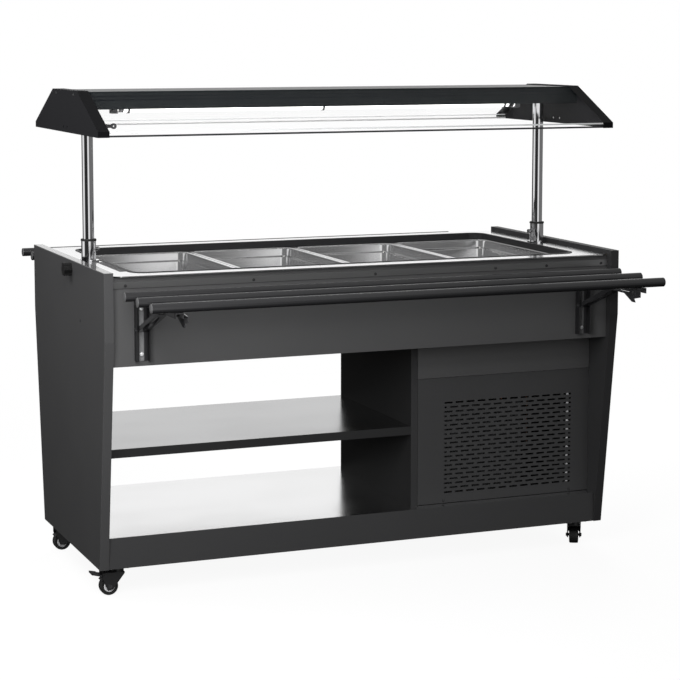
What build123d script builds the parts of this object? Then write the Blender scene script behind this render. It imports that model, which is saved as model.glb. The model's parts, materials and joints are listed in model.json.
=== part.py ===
"""Refrigerated buffet counter: insulated well with four food pans, open storage below,
machine bay with slotted grille, folding tray slides front and back, lit canopy on two posts.
Millimetres. Origin on the floor under the middle, X along the length, front is -Y, Z up."""
import os
from math import atan2, cos, hypot, radians, sin

from build123d import *

os.makedirs("parts", exist_ok=True)

# Pans and the well that holds them
pan_count = 4
pan_length = 530
pan_width = 325
pan_pitch = 327
pan_rim = 13
pan_depth = 100
pan_wall = 1.2
pan_corner = 30
pan_taper = 4
well_side = 4
well_half_x = pan_count * pan_pitch / 2 + well_side
well_half_y = 315
well_corner = 40
pan_level = 861

# Cabinet shell
panel_thick = 25
top_margin = 77
length = 2 * (well_half_x + top_margin + panel_thick)
panel_half_depth = 388
panel_top = 888
panel_kink = 705
panel_taper = 80
panel_edge = 1.5
base_clear = 80
fit_gap = 0.5
sheet = 2
inner_half = length / 2 - panel_thick
clear_half = inner_half - fit_gap

# Top and tank
deck_top = 877
deck_thick = 3
deck_half_depth = 378
deck_corner = 30
breaker_wall = 3
breaker_lip = 5
breaker_lip_height = 1.5
breaker_fit = 0.3
liner_ledge_x = 12
liner_half_x = well_half_x - liner_ledge_x
liner_seat = 9
liner_half_y = pan_length / 2 - liner_seat
liner_corner = 25
liner_floor = 690
liner_ledge = 4
foam_bottom = 646
foam_fit = 0.3
bar_width = 22
bar_thick = 1
bar_drop = 10
bar_tab = 12
vent_count = 23
vent_pitch = 10
vent_length = 20
vent_width = 4
vent_inset = 15
vent_x = -well_half_x - vent_inset
vent_first_y = -265

# Aprons, shelf, base and machine bay
apron_face = 363
apron_bottom = 636
apron_return = 40
trim_bottom = 844
trim_height = 17
trim_thick = 4
base_top = 165
base_half_depth = 304
base_return = 90
shelf_top = 397
shelf_edge = 24
shelf_lip = 10
bay_half_depth = 266
bay_length = 570
bay_left = inner_half - bay_length
bay_wall_thick = 20
bay_seam = 530
bay_gap = 1
panel_pan_depth = 12
panel_pan_wall = 1.5
slot_rows = 21
slot_columns = 12
slot_row_pitch = 13
slot_pitch = 34.8
slot_length = 25
slot_height = 5
slot_first_z = 197
slot_from_wall = 117
slot_first_x = bay_left + slot_from_wall
end_slot = slot_length - slot_pitch / 2
slot_reach = (slot_length - end_slot) / 2
end_slot_x = (slot_first_x - slot_reach, slot_first_x + (slot_columns - 1) * slot_pitch + slot_reach)
louvre_rows = 12
louvre_pitch = 22
louvre_length = 150
louvre_height = 7
louvre_first_z = 205
louvre_near = 185
louvre_far = 385
louvre_x = (bay_left + louvre_near, bay_left + louvre_far)

# Canopy and posts
post_inset = 38
post_x = inner_half - post_inset
post_diameter = 32
post_wall = 2
post_bottom = 800
post_fit = 0.08
socket_diameter = 41
socket_top = 937
socket_bottom = 700
socket_hole_bottom = 652
socket_flange = 58
socket_flange_thick = 4
socket_fit = 0.2
thumb_z = 911
thumb_shank = 5
thumb_head = 12
thumb_head_length = 9
thumb_fit = 0.06
thumb_tip_gap = 0.3
canopy_inset = 1
canopy_half = length / 2 - canopy_inset
canopy_top = 1352
canopy_half_top = 133
canopy_half_depth = 344
canopy_slope = 100
canopy_knee = canopy_top - canopy_slope
canopy_skirt = 16
canopy_bottom = canopy_knee - canopy_skirt
canopy_plate = 2.5
canopy_flange = 31
plate_hole = 7
plate_hole_lift = 15
plate_hole_y = (17, -23)
roof_gap = 0.2
roof_wall = 3
roof_depth = 52
roof_bottom = canopy_top - roof_depth
roof_groove = 3
roof_groove_depth = 1.2
roof_groove_high = 17
roof_groove_low = 27
roof_groove_z = (canopy_top - roof_groove_high, canopy_top - roof_groove_low)
roof_lip = 14
post_cap = 60
post_cap_thick = 4
lamp_drop = 52
lamp_z = canopy_top - lamp_drop
lamp_diameter = 26
lamp_inset = 146
lamp_half = canopy_half - lamp_inset
holder_length = 16
holder_depth = 30
holder_drop = 16
clip_inset = 33
clip_x = lamp_half - clip_inset
clip_width = 6
clip_wall = 3
clip_fit = 0.2
clip_stem = 10
pane_thick = 5
pane_gap = 0.4
pane_start = 8
pane_inset = 5
pane_end_y = canopy_half_depth - pane_inset
rod_diameter = 5
rod_inset = 8
rod_y = canopy_half_depth - rod_inset
rod_lift = 3
rod_z = canopy_bottom + rod_lift
rod_gap = 0.2
eye_back = 69
eye_y = eye_back - canopy_half_depth
eye_lift = 10
eye_z = canopy_knee + eye_lift
eye_inset = 61
eye_x = eye_inset - canopy_half
eye_shank = 9
eye_ring = 5
eye_wire = 2.7

# Clamp knobs on the end panels
knob_y = -45
knob_z = 863
knob_diameter = 38
knob_length = 22
knob_lobe = 9
knob_lobes = 6
knob_gap = 0.4
stud_diameter = 8
stud_depth = 45
stud_fit = 0.08

# Folding tray slides
tube_inset = 11.5
tube_half = inner_half - tube_inset
bracket_inset = 69.5
bracket_x = tube_half - bracket_inset
plate_width = 38
plate_bottom = 650
plate_height = 168
plate_depth = 21
plate_wall = 2.5
pivot_out = 13
pin_diameter = 8
pin_fit = 0.08
tube_diameter = 25
tube_wall = 1.5
tube_z = 833
tube_out = (91, 207, 328)
tube_seat = 0.2
plug_head = 3
arm_wall = 2
arm_width = 22
arm_web = 2.6
arm_below = 3.5
arm_end = 327
roller = 8
roller_gap = 0.4
hinge_ear = 9.5
strut_drop = 76
strut_width = 29
strut_wall = 2
strut_half = 6
strut_web = 1.8
strut_window = 16
strut_bridge = 24
lever_pivot = (305, -3)
lever_pin = 6
lever_inner = 15.2
lever_thick = 3
lever_hole = 5
lever_hole_at = (328, -5)
lever_outline = [(190, -3), (190, -9), (258, -9), (300, -28), (316, -28), (309, -19), (342, -12), (342, 3),
                 (306, 6), (285, -3)]

# Casters
caster_inset = 37
caster_x = inner_half - caster_inset
caster_y = 257
caster_plate = 60
caster_plate_thick = 3
caster_trail = 25
wheel_diameter = 50
wheel_width = 26
wheel_round = 3
hub_recess = 2
hub_inner = 18
hub_outer = 34
axle_diameter = 8
axle_fit = 0.08
cheek_gap = 3.5
cheek_wall = 3
crown_top = 64
crown_thick = 4
swivel_diameter = 36
swivel_gap = 0.3
kingpin = 10
kingpin_length = 9
fork_back = 16
fork_front = 45
fork_front_low = 50
fork_foot_half = 8
fork_foot_drop = 7
pedal_pivot = (38, 57)
pedal_bar = 6
pedal_bar_over = 2
pedal_neck_half = 2
pedal_neck = (47, 3)
pedal_side_gap = 1
pedal_length = 74
pedal_tip_z = 66
pedal_tread = (56, 59.5, 62.5)
pedal_width = 36
pedal_thick = 5
caster_turn = {"front_left": 180, "front_right": 63, "rear_left": 180, "rear_right": 20}
caster_at = {"front_left": (-1, -1), "front_right": (1, -1), "rear_left": (-1, 1), "rear_right": (1, 1)}

# Refrigeration unit and controls
compressor_from_wall = 435
compressor_y = 70
compressor_at = (bay_left + compressor_from_wall, compressor_y)
compressor_diameter = 150
compressor_height = 165
compressor_round = 38
compressor_foot = (180, 130, 5)
compressor_foot_corner = 12
coil_from_wall = 225
coil_x = bay_left + coil_from_wall
coil_width = 280
coil_height = 250
coil_bottom = 190
coil_clear = 26
coil_front = coil_clear - bay_half_depth
coil_depth = 55
coil_foot = 20
coil_groove = 3
coil_groove_pitch = 12
shroud_thick = 2
shroud_bore = 200
shroud_depth = 36
motor_diameter = 76
motor_length = 56
motor_strut = 12
fan_diameter = 188
fan_hub = 50
fan_hub_length = 22
fan_shaft = 8
fan_fit = 0.06
fan_blades = 5
fan_pitch = 28
fan_gap = 3
blade_width = 36.4
blade_thick = 2
blade_root = 2
pipe_diameter = 10
pipe_bend = 22
pipe_gap = 0.1
pipe_rise = 60
discharge_out = 50
discharge_over = 50
suction_out = 30
suction_under = 50
suction_back = 110
drain_from_wall = 255
drain_y = 150
drain_at = (bay_left + drain_from_wall, drain_y)
drain_outer = 32
drain_inner = 26
drain_bottom = 580
drain_cap = 40
drain_cap_height = 20
drain_fit = 1
control_z = 600
controller_from_wall = 205
controller_x = bay_left + controller_from_wall
controller_bezel = (78, 35, 4)
controller_body = (70, 28, 60)
power_from_wall = 315
lamp_from_wall = 365
switch_x = (bay_left + power_from_wall, bay_left + lamp_from_wall)
switch_bezel = (21, 27, 3)
switch_body = (13, 19, 22)
switch_window = (11.2, 17)
rocker_radius = 8.2
rocker_width = 10.4
rocker_tilt = 8
rocker_inset = 2
rocker_trim = 1
cut_fit = 0.3


def keep(piece, name):
    """Name a finished piece and write it out."""
    piece.part.label = name
    export_step(piece.part, f"parts/{name}.step")


# End panels: upright above the kink, tapering to the base
panel_low = panel_half_depth - panel_taper
panel_outline = [(-panel_half_depth, panel_top), (panel_half_depth, panel_top), (panel_half_depth, panel_kink),
                 (panel_low, base_clear), (-panel_low, base_clear), (-panel_half_depth, panel_kink)]
for side, name in ((-1, "left_end_panel"), (1, "right_end_panel")):
    with BuildPart() as end_panel:
        with BuildSketch(Plane.YZ.offset(side * inner_half)):
            Polygon(*panel_outline, align=None)
        extrude(amount=side * panel_thick)
        outer = end_panel.faces().sort_by(Axis.X)[-1 if side > 0 else 0]
        chamfer(outer.edges(), panel_edge)
        with BuildSketch(Plane.YZ.offset(side * inner_half)):
            with Locations((knob_y, knob_z)):
                Circle(stud_diameter / 2 + stud_fit)
        extrude(amount=side * panel_thick, mode=Mode.SUBTRACT)
    keep(end_panel, name)

# Aprons: folded sheet in front of and behind the well, turned in at the bottom
for side, name in ((-1, "front_apron"), (1, "rear_apron")):
    with BuildPart() as apron:
        with BuildSketch(Plane.XY.offset(apron_bottom)):
            with Locations((0, side * (apron_face - sheet / 2))):
                Rectangle(2 * clear_half, sheet)
        extrude(amount=deck_top - deck_thick - apron_bottom)
        with BuildSketch(Plane.XY.offset(apron_bottom)):
            with Locations((0, side * (apron_face - apron_return / 2))):
                Rectangle(2 * clear_half, apron_return)
        extrude(amount=sheet)
    keep(apron, name)

# Trim strips screwed along the top of each apron
with BuildPart() as trim_strips:
    with BuildSketch(Plane.XY.offset(trim_bottom)):
        with Locations((0, apron_face + trim_thick / 2), (0, -apron_face - trim_thick / 2)):
            Rectangle(2 * clear_half, trim_thick)
    extrude(amount=trim_height)
keep(trim_strips, "trim_strips")

# Counter top: steel sheet with the well opening, post holes and a row of vent slots
with BuildPart() as counter_top:
    with BuildSketch(Plane.XY.offset(deck_top)):
        RectangleRounded(2 * clear_half, 2 * deck_half_depth, deck_corner)
        RectangleRounded(2 * well_half_x, 2 * well_half_y, well_corner, mode=Mode.SUBTRACT)
        with Locations((-post_x, 0), (post_x, 0)):
            Circle(socket_diameter / 2 + socket_fit, mode=Mode.SUBTRACT)
        with Locations(*[(vent_x, vent_first_y + k * vent_pitch) for k in range(vent_count)]):
            Rectangle(vent_length, vent_width, mode=Mode.SUBTRACT)
    extrude(amount=-deck_thick)
keep(counter_top, "counter_top")

# Breaker strip: plastic ring between the warm top and the cold tank
with BuildPart() as breaker_strip:
    with BuildSketch(Plane.XY.offset(pan_level)):
        RectangleRounded(2 * (well_half_x - breaker_fit), 2 * (well_half_y - breaker_fit), well_corner - breaker_fit)
        RectangleRounded(2 * (well_half_x - breaker_fit - breaker_wall), 2 * (well_half_y - breaker_fit - breaker_wall),
                         well_corner - breaker_fit - breaker_wall, mode=Mode.SUBTRACT)
    extrude(amount=deck_top - pan_level)
    with BuildSketch(Plane.XY.offset(deck_top)):
        RectangleRounded(2 * (well_half_x + breaker_lip), 2 * (well_half_y + breaker_lip), well_corner + breaker_lip)
        RectangleRounded(2 * (well_half_x - breaker_fit - breaker_wall), 2 * (well_half_y - breaker_fit - breaker_wall),
                         well_corner - breaker_fit - breaker_wall, mode=Mode.SUBTRACT)
    extrude(amount=breaker_lip_height)
keep(breaker_strip, "breaker_strip")

# Tank liner: steel basin with a ledge for the pans and a drain hole
with BuildPart() as tank_liner:
    with BuildSketch(Plane.XY.offset(pan_level)):
        RectangleRounded(2 * (well_half_x + liner_ledge), 2 * (well_half_y + liner_ledge), well_corner + liner_ledge)
    extrude(amount=-sheet)
    with BuildSketch(Plane.XY.offset(pan_level)):
        RectangleRounded(2 * (liner_half_x + sheet), 2 * (liner_half_y + sheet), liner_corner + sheet)
    extrude(amount=liner_floor - sheet - pan_level)
    with BuildSketch(Plane.XY.offset(pan_level)):
        RectangleRounded(2 * liner_half_x, 2 * liner_half_y, liner_corner)
    extrude(amount=liner_floor - pan_level, mode=Mode.SUBTRACT)
    with BuildSketch(Plane.XY.offset(liner_floor)):
        with Locations(drain_at):
            Circle(drain_inner / 2)
    extrude(amount=-sheet, mode=Mode.SUBTRACT)
keep(tank_liner, "tank_liner")

# Insulation round the tank, bored for the post sockets, the drain and the knob studs
foam_half_depth = apron_face - sheet - fit_gap
with BuildPart() as tank_insulation:
    with BuildSketch(Plane.XY.offset(foam_bottom)):
        Rectangle(2 * clear_half, 2 * foam_half_depth)
    extrude(amount=deck_top - deck_thick - foam_bottom)
    with BuildSketch(Plane.XY.offset(deck_top - deck_thick)):
        RectangleRounded(2 * (well_half_x + liner_ledge + foam_fit), 2 * (well_half_y + liner_ledge + foam_fit),
                         well_corner + liner_ledge + foam_fit)
    extrude(amount=pan_level - sheet - deck_top + deck_thick, mode=Mode.SUBTRACT)
    with BuildSketch(Plane.XY.offset(liner_floor - sheet)):
        RectangleRounded(2 * (liner_half_x + sheet + foam_fit), 2 * (liner_half_y + sheet + foam_fit),
                         liner_corner + sheet + foam_fit)
    extrude(amount=deck_top - liner_floor, mode=Mode.SUBTRACT)
    with BuildSketch(Plane.XY.offset(socket_hole_bottom)):
        with Locations((-post_x, 0), (post_x, 0)):
            Circle(socket_diameter / 2 + socket_fit)
    extrude(amount=deck_top - socket_hole_bottom, mode=Mode.SUBTRACT)
    with BuildSketch(Plane.XY.offset(foam_bottom)):
        with Locations(drain_at):
            Circle(drain_outer / 2 + drain_fit)
    extrude(amount=liner_floor - foam_bottom, mode=Mode.SUBTRACT)
    for side in (-1, 1):
        with BuildSketch(Plane.YZ.offset(side * inner_half)):
            with Locations((knob_y, knob_z)):
                Circle(stud_diameter / 2 + fit_gap)
        extrude(amount=side * (panel_thick - stud_depth), mode=Mode.SUBTRACT)
keep(tank_insulation, "tank_insulation")

# Bars that carry the pan rims between neighbouring pans
bar_x = [(k - pan_count / 2) * pan_pitch for k in range(1, pan_count)]
with BuildPart() as pan_bars:
    with BuildSketch(Plane.XY.offset(pan_level)):
        with Locations(*[(x, 0) for x in bar_x]):
            Rectangle(bar_width, 2 * (liner_half_y + bar_tab))
    extrude(amount=bar_thick)
    with BuildSketch(Plane.XY.offset(pan_level)):
        with Locations(*[(x + s * (bar_width - sheet) / 2, 0) for x in bar_x for s in (-1, 1)]):
            Rectangle(sheet, 2 * (liner_half_y - fit_gap))
    extrude(amount=-bar_drop)
keep(pan_bars, "pan_bars")

# Four food pans, drawn steel with a flat rim
rim_seat = pan_level + bar_thick
for k in range(pan_count):
    pan_x = (k - (pan_count - 1) / 2) * pan_pitch
    with BuildPart() as pan:
        with BuildSketch(Plane.XY.offset(rim_seat + pan_wall)):
            with Locations((pan_x, 0)):
                RectangleRounded(pan_width - 2 * pan_rim + 2 * pan_wall, pan_length - 2 * pan_rim + 2 * pan_wall,
                                 pan_corner + pan_wall)
        extrude(amount=-pan_depth, taper=pan_taper)
        with BuildSketch(Plane.XY.offset(rim_seat)):
            with Locations((pan_x, 0)):
                RectangleRounded(pan_width, pan_length, pan_corner + pan_rim)
        extrude(amount=pan_wall)
        with BuildSketch(Plane.XY.offset(rim_seat + pan_wall)):
            with Locations((pan_x, 0)):
                RectangleRounded(pan_width - 2 * pan_rim, pan_length - 2 * pan_rim, pan_corner)
        extrude(amount=pan_wall - pan_depth, taper=pan_taper, mode=Mode.SUBTRACT)
    keep(pan, f"pan_{k + 1}")

# Base: folded deck and plinths, turned in below for the casters
with BuildPart() as base_deck:
    with BuildSketch(Plane.YZ.offset(-clear_half)):
        with Locations((0, base_top - sheet / 2)):
            Rectangle(2 * base_half_depth, sheet)
        for side in (-1, 1):
            with Locations((side * (base_half_depth - sheet / 2), (base_top + base_clear) / 2)):
                Rectangle(sheet, base_top - base_clear)
            with Locations((side * (base_half_depth - base_return / 2), base_clear + sheet / 2)):
                Rectangle(base_return, sheet)
    extrude(amount=2 * clear_half)
keep(base_deck, "base_deck")

# Storage shelf with folded edges
with BuildPart() as storage_shelf:
    with BuildSketch(Plane.YZ.offset(-clear_half)):
        with Locations((0, shelf_top - sheet / 2)):
            Rectangle(2 * bay_half_depth, sheet)
        for side in (-1, 1):
            with Locations((side * (bay_half_depth - sheet / 2), shelf_top - shelf_edge / 2)):
                Rectangle(sheet, shelf_edge)
            with Locations((side * (bay_half_depth - shelf_lip / 2), shelf_top - shelf_edge + sheet / 2)):
                Rectangle(shelf_lip, sheet)
    extrude(amount=clear_half + bay_left - fit_gap)
keep(storage_shelf, "storage_shelf")

# Wall between the storage bay and the machine bay: a folded tray, open towards the machine
with BuildPart() as machine_bay_wall:
    with BuildSketch(Plane.XY.offset(base_top)):
        with Locations((bay_left + bay_wall_thick / 2, 0)):
            Rectangle(bay_wall_thick, 2 * bay_half_depth)
        with Locations((bay_left + bay_wall_thick / 2 + sheet, 0)):
            Rectangle(bay_wall_thick, 2 * (bay_half_depth - sheet), mode=Mode.SUBTRACT)
    extrude(amount=foam_bottom - base_top)
keep(machine_bay_wall, "machine_bay_wall")

# Machine bay covers: shallow folded pans; blank above, slotted below, louvred at the back
cover_left = bay_left + bay_wall_thick + bay_gap
cover_width = clear_half - cover_left
cover_x = cover_left + cover_width / 2
grille_bottom = base_top + bay_gap
covers = (("machine_front_panel", -1, bay_seam + bay_gap, foam_bottom - fit_gap),
          ("machine_grille", -1, grille_bottom, bay_seam),
          ("machine_rear_panel", 1, grille_bottom, foam_bottom - fit_gap))
for name, side, low, high in covers:
    with BuildPart() as cover:
        with BuildSketch(Plane.XZ.offset(-side * bay_half_depth)):
            with Locations((cover_x, (low + high) / 2)):
                Rectangle(cover_width, high - low)
        extrude(amount=side * panel_pan_depth)
        with BuildSketch(Plane.XZ.offset(-side * (bay_half_depth - panel_pan_wall))):
            with Locations((cover_x, (low + high) / 2)):
                Rectangle(cover_width - 2 * panel_pan_wall, high - low - 2 * panel_pan_wall)
        extrude(amount=side * panel_pan_depth, mode=Mode.SUBTRACT)
        if name == "machine_grille":
            with BuildSketch(Plane.XZ.offset(bay_half_depth)):
                with Locations(*[(slot_first_x + (c + (r % 2) / 2) * slot_pitch, slot_first_z + r * slot_row_pitch)
                                 for r in range(slot_rows) for c in range(slot_columns - r % 2)]):
                    Rectangle(slot_length, slot_height)
                with Locations(*[(x, slot_first_z + r * slot_row_pitch) for r in range(1, slot_rows, 2)
                                 for x in end_slot_x]):
                    Rectangle(end_slot, slot_height)
            extrude(amount=-panel_pan_wall, mode=Mode.SUBTRACT)
        if name == "machine_rear_panel":
            with BuildSketch(Plane.XZ.offset(-bay_half_depth)):
                with Locations(*[(x, louvre_first_z + r * louvre_pitch) for r in range(louvre_rows) for x in louvre_x]):
                    Rectangle(louvre_length, louvre_height)
                with Locations((controller_x, control_z)):
                    Rectangle(controller_body[0] + 2 * cut_fit, controller_body[1] + 2 * cut_fit)
                with Locations(*[(x, control_z) for x in switch_x]):
                    Rectangle(switch_body[0] + 2 * cut_fit, switch_body[1] + 2 * cut_fit)
            extrude(amount=panel_pan_wall, mode=Mode.SUBTRACT)
    keep(cover, name)

# Controls: thermostat case and two switch bezels in the rear panel
with BuildPart() as control_panel:
    with BuildSketch(Plane.XZ.offset(-bay_half_depth)):
        with Locations((controller_x, control_z)):
            Rectangle(controller_bezel[0], controller_bezel[1])
    extrude(amount=-controller_bezel[2])
    with BuildSketch(Plane.XZ.offset(-bay_half_depth)):
        with Locations((controller_x, control_z)):
            Rectangle(controller_body[0], controller_body[1])
    extrude(amount=controller_body[2])
    with BuildSketch(Plane.XZ.offset(-bay_half_depth)):
        with Locations(*[(x, control_z) for x in switch_x]):
            Rectangle(switch_bezel[0], switch_bezel[1])
    extrude(amount=-switch_bezel[2])
    with BuildSketch(Plane.XZ.offset(-bay_half_depth)):
        with Locations(*[(x, control_z) for x in switch_x]):
            Rectangle(switch_body[0], switch_body[1])
    extrude(amount=switch_body[2])
    with BuildSketch(Plane.XZ.offset(-bay_half_depth - switch_bezel[2])):
        with Locations(*[(x, control_z) for x in switch_x]):
            Rectangle(switch_window[0], switch_window[1])
    extrude(amount=switch_bezel[2] + rocker_inset + rocker_radius + cut_fit, mode=Mode.SUBTRACT)
keep(control_panel, "control_panel")

# Rocker switches: round underneath, two flats on the face
rocker_axis_y = bay_half_depth + switch_bezel[2] - rocker_inset
for x, name in zip(switch_x, ("power_switch", "lamp_switch")):
    with BuildPart() as rocker:
        with BuildSketch(Plane.YZ.offset(x)):
            with Locations((rocker_axis_y, control_z)):
                Circle(rocker_radius)
            for tilt in (0, 2 * rocker_tilt):
                with Locations(Location((rocker_axis_y, control_z, 0), tilt)):
                    with Locations((rocker_radius + rocker_inset + rocker_trim, 0)):
                        Rectangle(2 * rocker_radius, 6 * rocker_radius, mode=Mode.SUBTRACT)
        extrude(amount=rocker_width / 2, both=True)
    keep(rocker, name)

# Compressor: welded dome on a foot plate
with BuildPart() as compressor:
    with BuildSketch(Plane.XY.offset(base_top)):
        with Locations(compressor_at):
            RectangleRounded(compressor_foot[0], compressor_foot[1], compressor_foot_corner)
    extrude(amount=compressor_foot[2])
    with BuildSketch(Plane.XY.offset(base_top + compressor_foot[2])):
        with Locations(compressor_at):
            Circle(compressor_diameter / 2)
    extrude(amount=compressor_height)
    dome = compressor.faces().sort_by(Axis.Z)[-1]
    fillet(dome.edges(), compressor_round)
keep(compressor, "compressor")

# Condenser: finned block on two feet, with the fan shroud, struts and motor behind it
coil_back = coil_front + coil_depth
shroud_back = coil_back + shroud_thick + shroud_depth
coil_middle = coil_bottom + coil_height / 2
with BuildPart() as condenser:
    with BuildSketch(Plane.XZ.offset(-coil_front)):
        with Locations((coil_x, coil_middle)):
            Rectangle(coil_width, coil_height)
    extrude(amount=-coil_depth - shroud_thick)
    groove_count = int(coil_width / coil_groove_pitch) - 1
    with BuildSketch(Plane.XZ.offset(-coil_front)):
        with Locations((coil_x, coil_middle)):
            with GridLocations(coil_groove_pitch, 0, groove_count, 1):
                Rectangle(coil_groove, coil_height - coil_foot)
    extrude(amount=-coil_groove, mode=Mode.SUBTRACT)
    with BuildSketch(Plane.XY.offset(base_top)):
        with Locations(*[(coil_x + s * (coil_width - coil_foot) / 2, coil_front + coil_depth / 2) for s in (-1, 1)]):
            Rectangle(coil_foot, coil_depth)
    extrude(amount=coil_bottom - base_top)
    with BuildSketch(Plane.XZ.offset(-coil_back)):
        with Locations((coil_x, coil_middle)):
            Circle(shroud_bore / 2 + shroud_thick)
    extrude(amount=-shroud_thick - shroud_depth)
    with BuildSketch(Plane.XZ.offset(-coil_back)):
        with Locations((coil_x, coil_middle)):
            Circle(shroud_bore / 2)
    extrude(amount=-shroud_thick - shroud_depth, mode=Mode.SUBTRACT)
    with BuildSketch(Plane.XZ.offset(-shroud_back)):
        with Locations((coil_x, coil_middle)):
            with PolarLocations(0, 3, start_angle=90):
                with Locations((shroud_bore / 4, 0)):
                    Rectangle(shroud_bore / 2 + shroud_thick, motor_strut)
    extrude(amount=-shroud_thick)
    with BuildSketch(Plane.XZ.offset(-shroud_back)):
        with Locations((coil_x, coil_middle)):
            Circle(motor_diameter / 2)
    extrude(amount=-motor_length)
    with BuildSketch(Plane.XZ.offset(-shroud_back)):
        with Locations((coil_x, coil_middle)):
            Circle(fan_shaft / 2)
    extrude(amount=fan_hub_length + fan_gap)
keep(condenser, "condenser")

# Fan: hub with pitched blades turning on the motor shaft
fan_face = shroud_back - fan_gap
with BuildPart() as fan:
    with BuildSketch(Plane.XZ.offset(-fan_face)):
        with Locations((coil_x, coil_middle)):
            Circle(fan_hub / 2)
    extrude(amount=fan_hub_length)
    for k in range(fan_blades):
        turn = radians(360 / fan_blades * k)
        blade_out = Vector(cos(turn), 0, sin(turn))
        blade_side = Vector(-sin(turn), 0, cos(turn))
        lean = radians(fan_pitch)
        blade_normal = blade_side * sin(lean) + Vector(0, -cos(lean), 0)
        root = Vector(coil_x, fan_face - fan_hub_length / 2, coil_middle)
        with BuildSketch(Plane(origin=root, x_dir=blade_out, z_dir=blade_normal)):
            with Locations(((fan_hub + fan_diameter) / 4 - blade_root, 0)):
                Rectangle((fan_diameter - fan_hub) / 2, blade_width)
        extrude(amount=blade_thick / 2, both=True)
    with BuildSketch(Plane.XZ.offset(-fan_face)):
        with Locations((coil_x, coil_middle)):
            Circle(fan_shaft / 2 + fan_fit)
    extrude(amount=fan_hub_length, mode=Mode.SUBTRACT)
keep(fan, "fan_blades")

# Copper pipes: compressor to condenser, tank to compressor
pipe_z = base_top + compressor_foot[2] + pipe_rise
discharge_x = compressor_at[0] - compressor_diameter / 2 - pipe_gap
suction_x = compressor_at[0] + compressor_diameter / 2 + pipe_gap
coil_top = coil_bottom + coil_height + pipe_gap
coil_y = coil_front + coil_depth / 2
pipe_y = compressor_at[1]
down_x = discharge_x - discharge_out
over_z = coil_top + discharge_over
up_x = suction_x + suction_out
under_z = foam_bottom - suction_under
tank_x = suction_x - suction_back
runs = [[(discharge_x, pipe_y, pipe_z), (down_x, pipe_y, pipe_z), (down_x, pipe_y, over_z),
         (down_x, coil_y, over_z), (down_x, coil_y, coil_top)],
        [(suction_x, pipe_y, pipe_z), (up_x, pipe_y, pipe_z), (up_x, pipe_y, under_z),
         (tank_x, pipe_y, under_z), (tank_x, pipe_y, foam_bottom - pipe_gap)]]
with BuildPart() as refrigerant_pipes:
    for points in runs:
        with BuildLine() as run:
            FilletPolyline(*points, radius=pipe_bend)
        with BuildSketch(Plane(origin=run.line @ 0, z_dir=run.line % 0)):
            Circle(pipe_diameter / 2)
        sweep(path=run.line)
keep(refrigerant_pipes, "refrigerant_pipes")

# Drain pipe from the tank floor, closed by a screw cap
with BuildPart() as drain_pipe:
    with BuildSketch(Plane.XY.offset(drain_bottom)):
        with Locations(drain_at):
            Circle(drain_outer / 2)
            Circle(drain_inner / 2, mode=Mode.SUBTRACT)
    extrude(amount=liner_floor - sheet - drain_bottom)
    with BuildSketch(Plane.XY.offset(drain_bottom)):
        with Locations(drain_at):
            RegularPolygon(drain_cap / 2, 8)
    extrude(amount=-drain_cap_height)
keep(drain_pipe, "drain_pipe")

# Post sockets: sleeves through the top with a screwed flange
with BuildPart() as post_sockets:
    with BuildSketch(Plane.XY.offset(socket_bottom)):
        with Locations((-post_x, 0), (post_x, 0)):
            Circle(socket_diameter / 2)
    extrude(amount=socket_top - socket_bottom)
    with BuildSketch(Plane.XY.offset(deck_top)):
        with Locations((-post_x, 0), (post_x, 0)):
            Circle(socket_flange / 2)
    extrude(amount=socket_flange_thick)
    with BuildSketch(Plane.XY.offset(socket_bottom)):
        with Locations((-post_x, 0), (post_x, 0)):
            Circle(post_diameter / 2 + post_fit)
    extrude(amount=socket_top - socket_bottom, mode=Mode.SUBTRACT)
    for side in (-1, 1):
        with BuildSketch(Plane.YZ.offset(side * post_x)):
            with Locations((0, thumb_z)):
                Circle(thumb_shank / 2 + thumb_fit)
        extrude(amount=-side * socket_diameter, mode=Mode.SUBTRACT)
keep(post_sockets, "post_sockets")

# Thumb screws that pinch the posts in their sockets
for side, name in ((-1, "left_thumb_screw"), (1, "right_thumb_screw")):
    tip_x = side * (post_x - post_diameter / 2 - thumb_tip_gap)
    with BuildPart() as thumb_screw:
        with BuildSketch(Plane.YZ.offset(tip_x)):
            with Locations((0, thumb_z)):
                Circle(thumb_shank / 2)
        extrude(amount=-side * (socket_diameter - post_diameter) / 2 - side * thumb_tip_gap)
        with BuildSketch(Plane.YZ.offset(side * (post_x - socket_diameter / 2 - thumb_tip_gap))):
            with Locations((0, thumb_z)):
                RegularPolygon(thumb_head / 2, 12)
        extrude(amount=-side * thumb_head_length)
    keep(thumb_screw, name)

# Clamp knobs: lobed grip outside each end panel with a stud through it
for side, name in ((-1, "left_clamp_knob"), (1, "right_clamp_knob")):
    with BuildPart() as knob:
        with BuildSketch(Plane.YZ.offset(side * (length / 2 + knob_gap))):
            with Locations((knob_y, knob_z)):
                Circle(knob_diameter / 2 - knob_lobe / 3)
                with PolarLocations(knob_diameter / 2 - knob_lobe / 2, knob_lobes):
                    Circle(knob_lobe / 2)
        extrude(amount=side * (knob_length - knob_gap))
        with BuildSketch(Plane.YZ.offset(side * (length / 2 + knob_gap))):
            with Locations((knob_y, knob_z)):
                Circle(stud_diameter / 2)
        extrude(amount=-side * (stud_depth - fit_gap))
    keep(knob, name)

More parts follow.
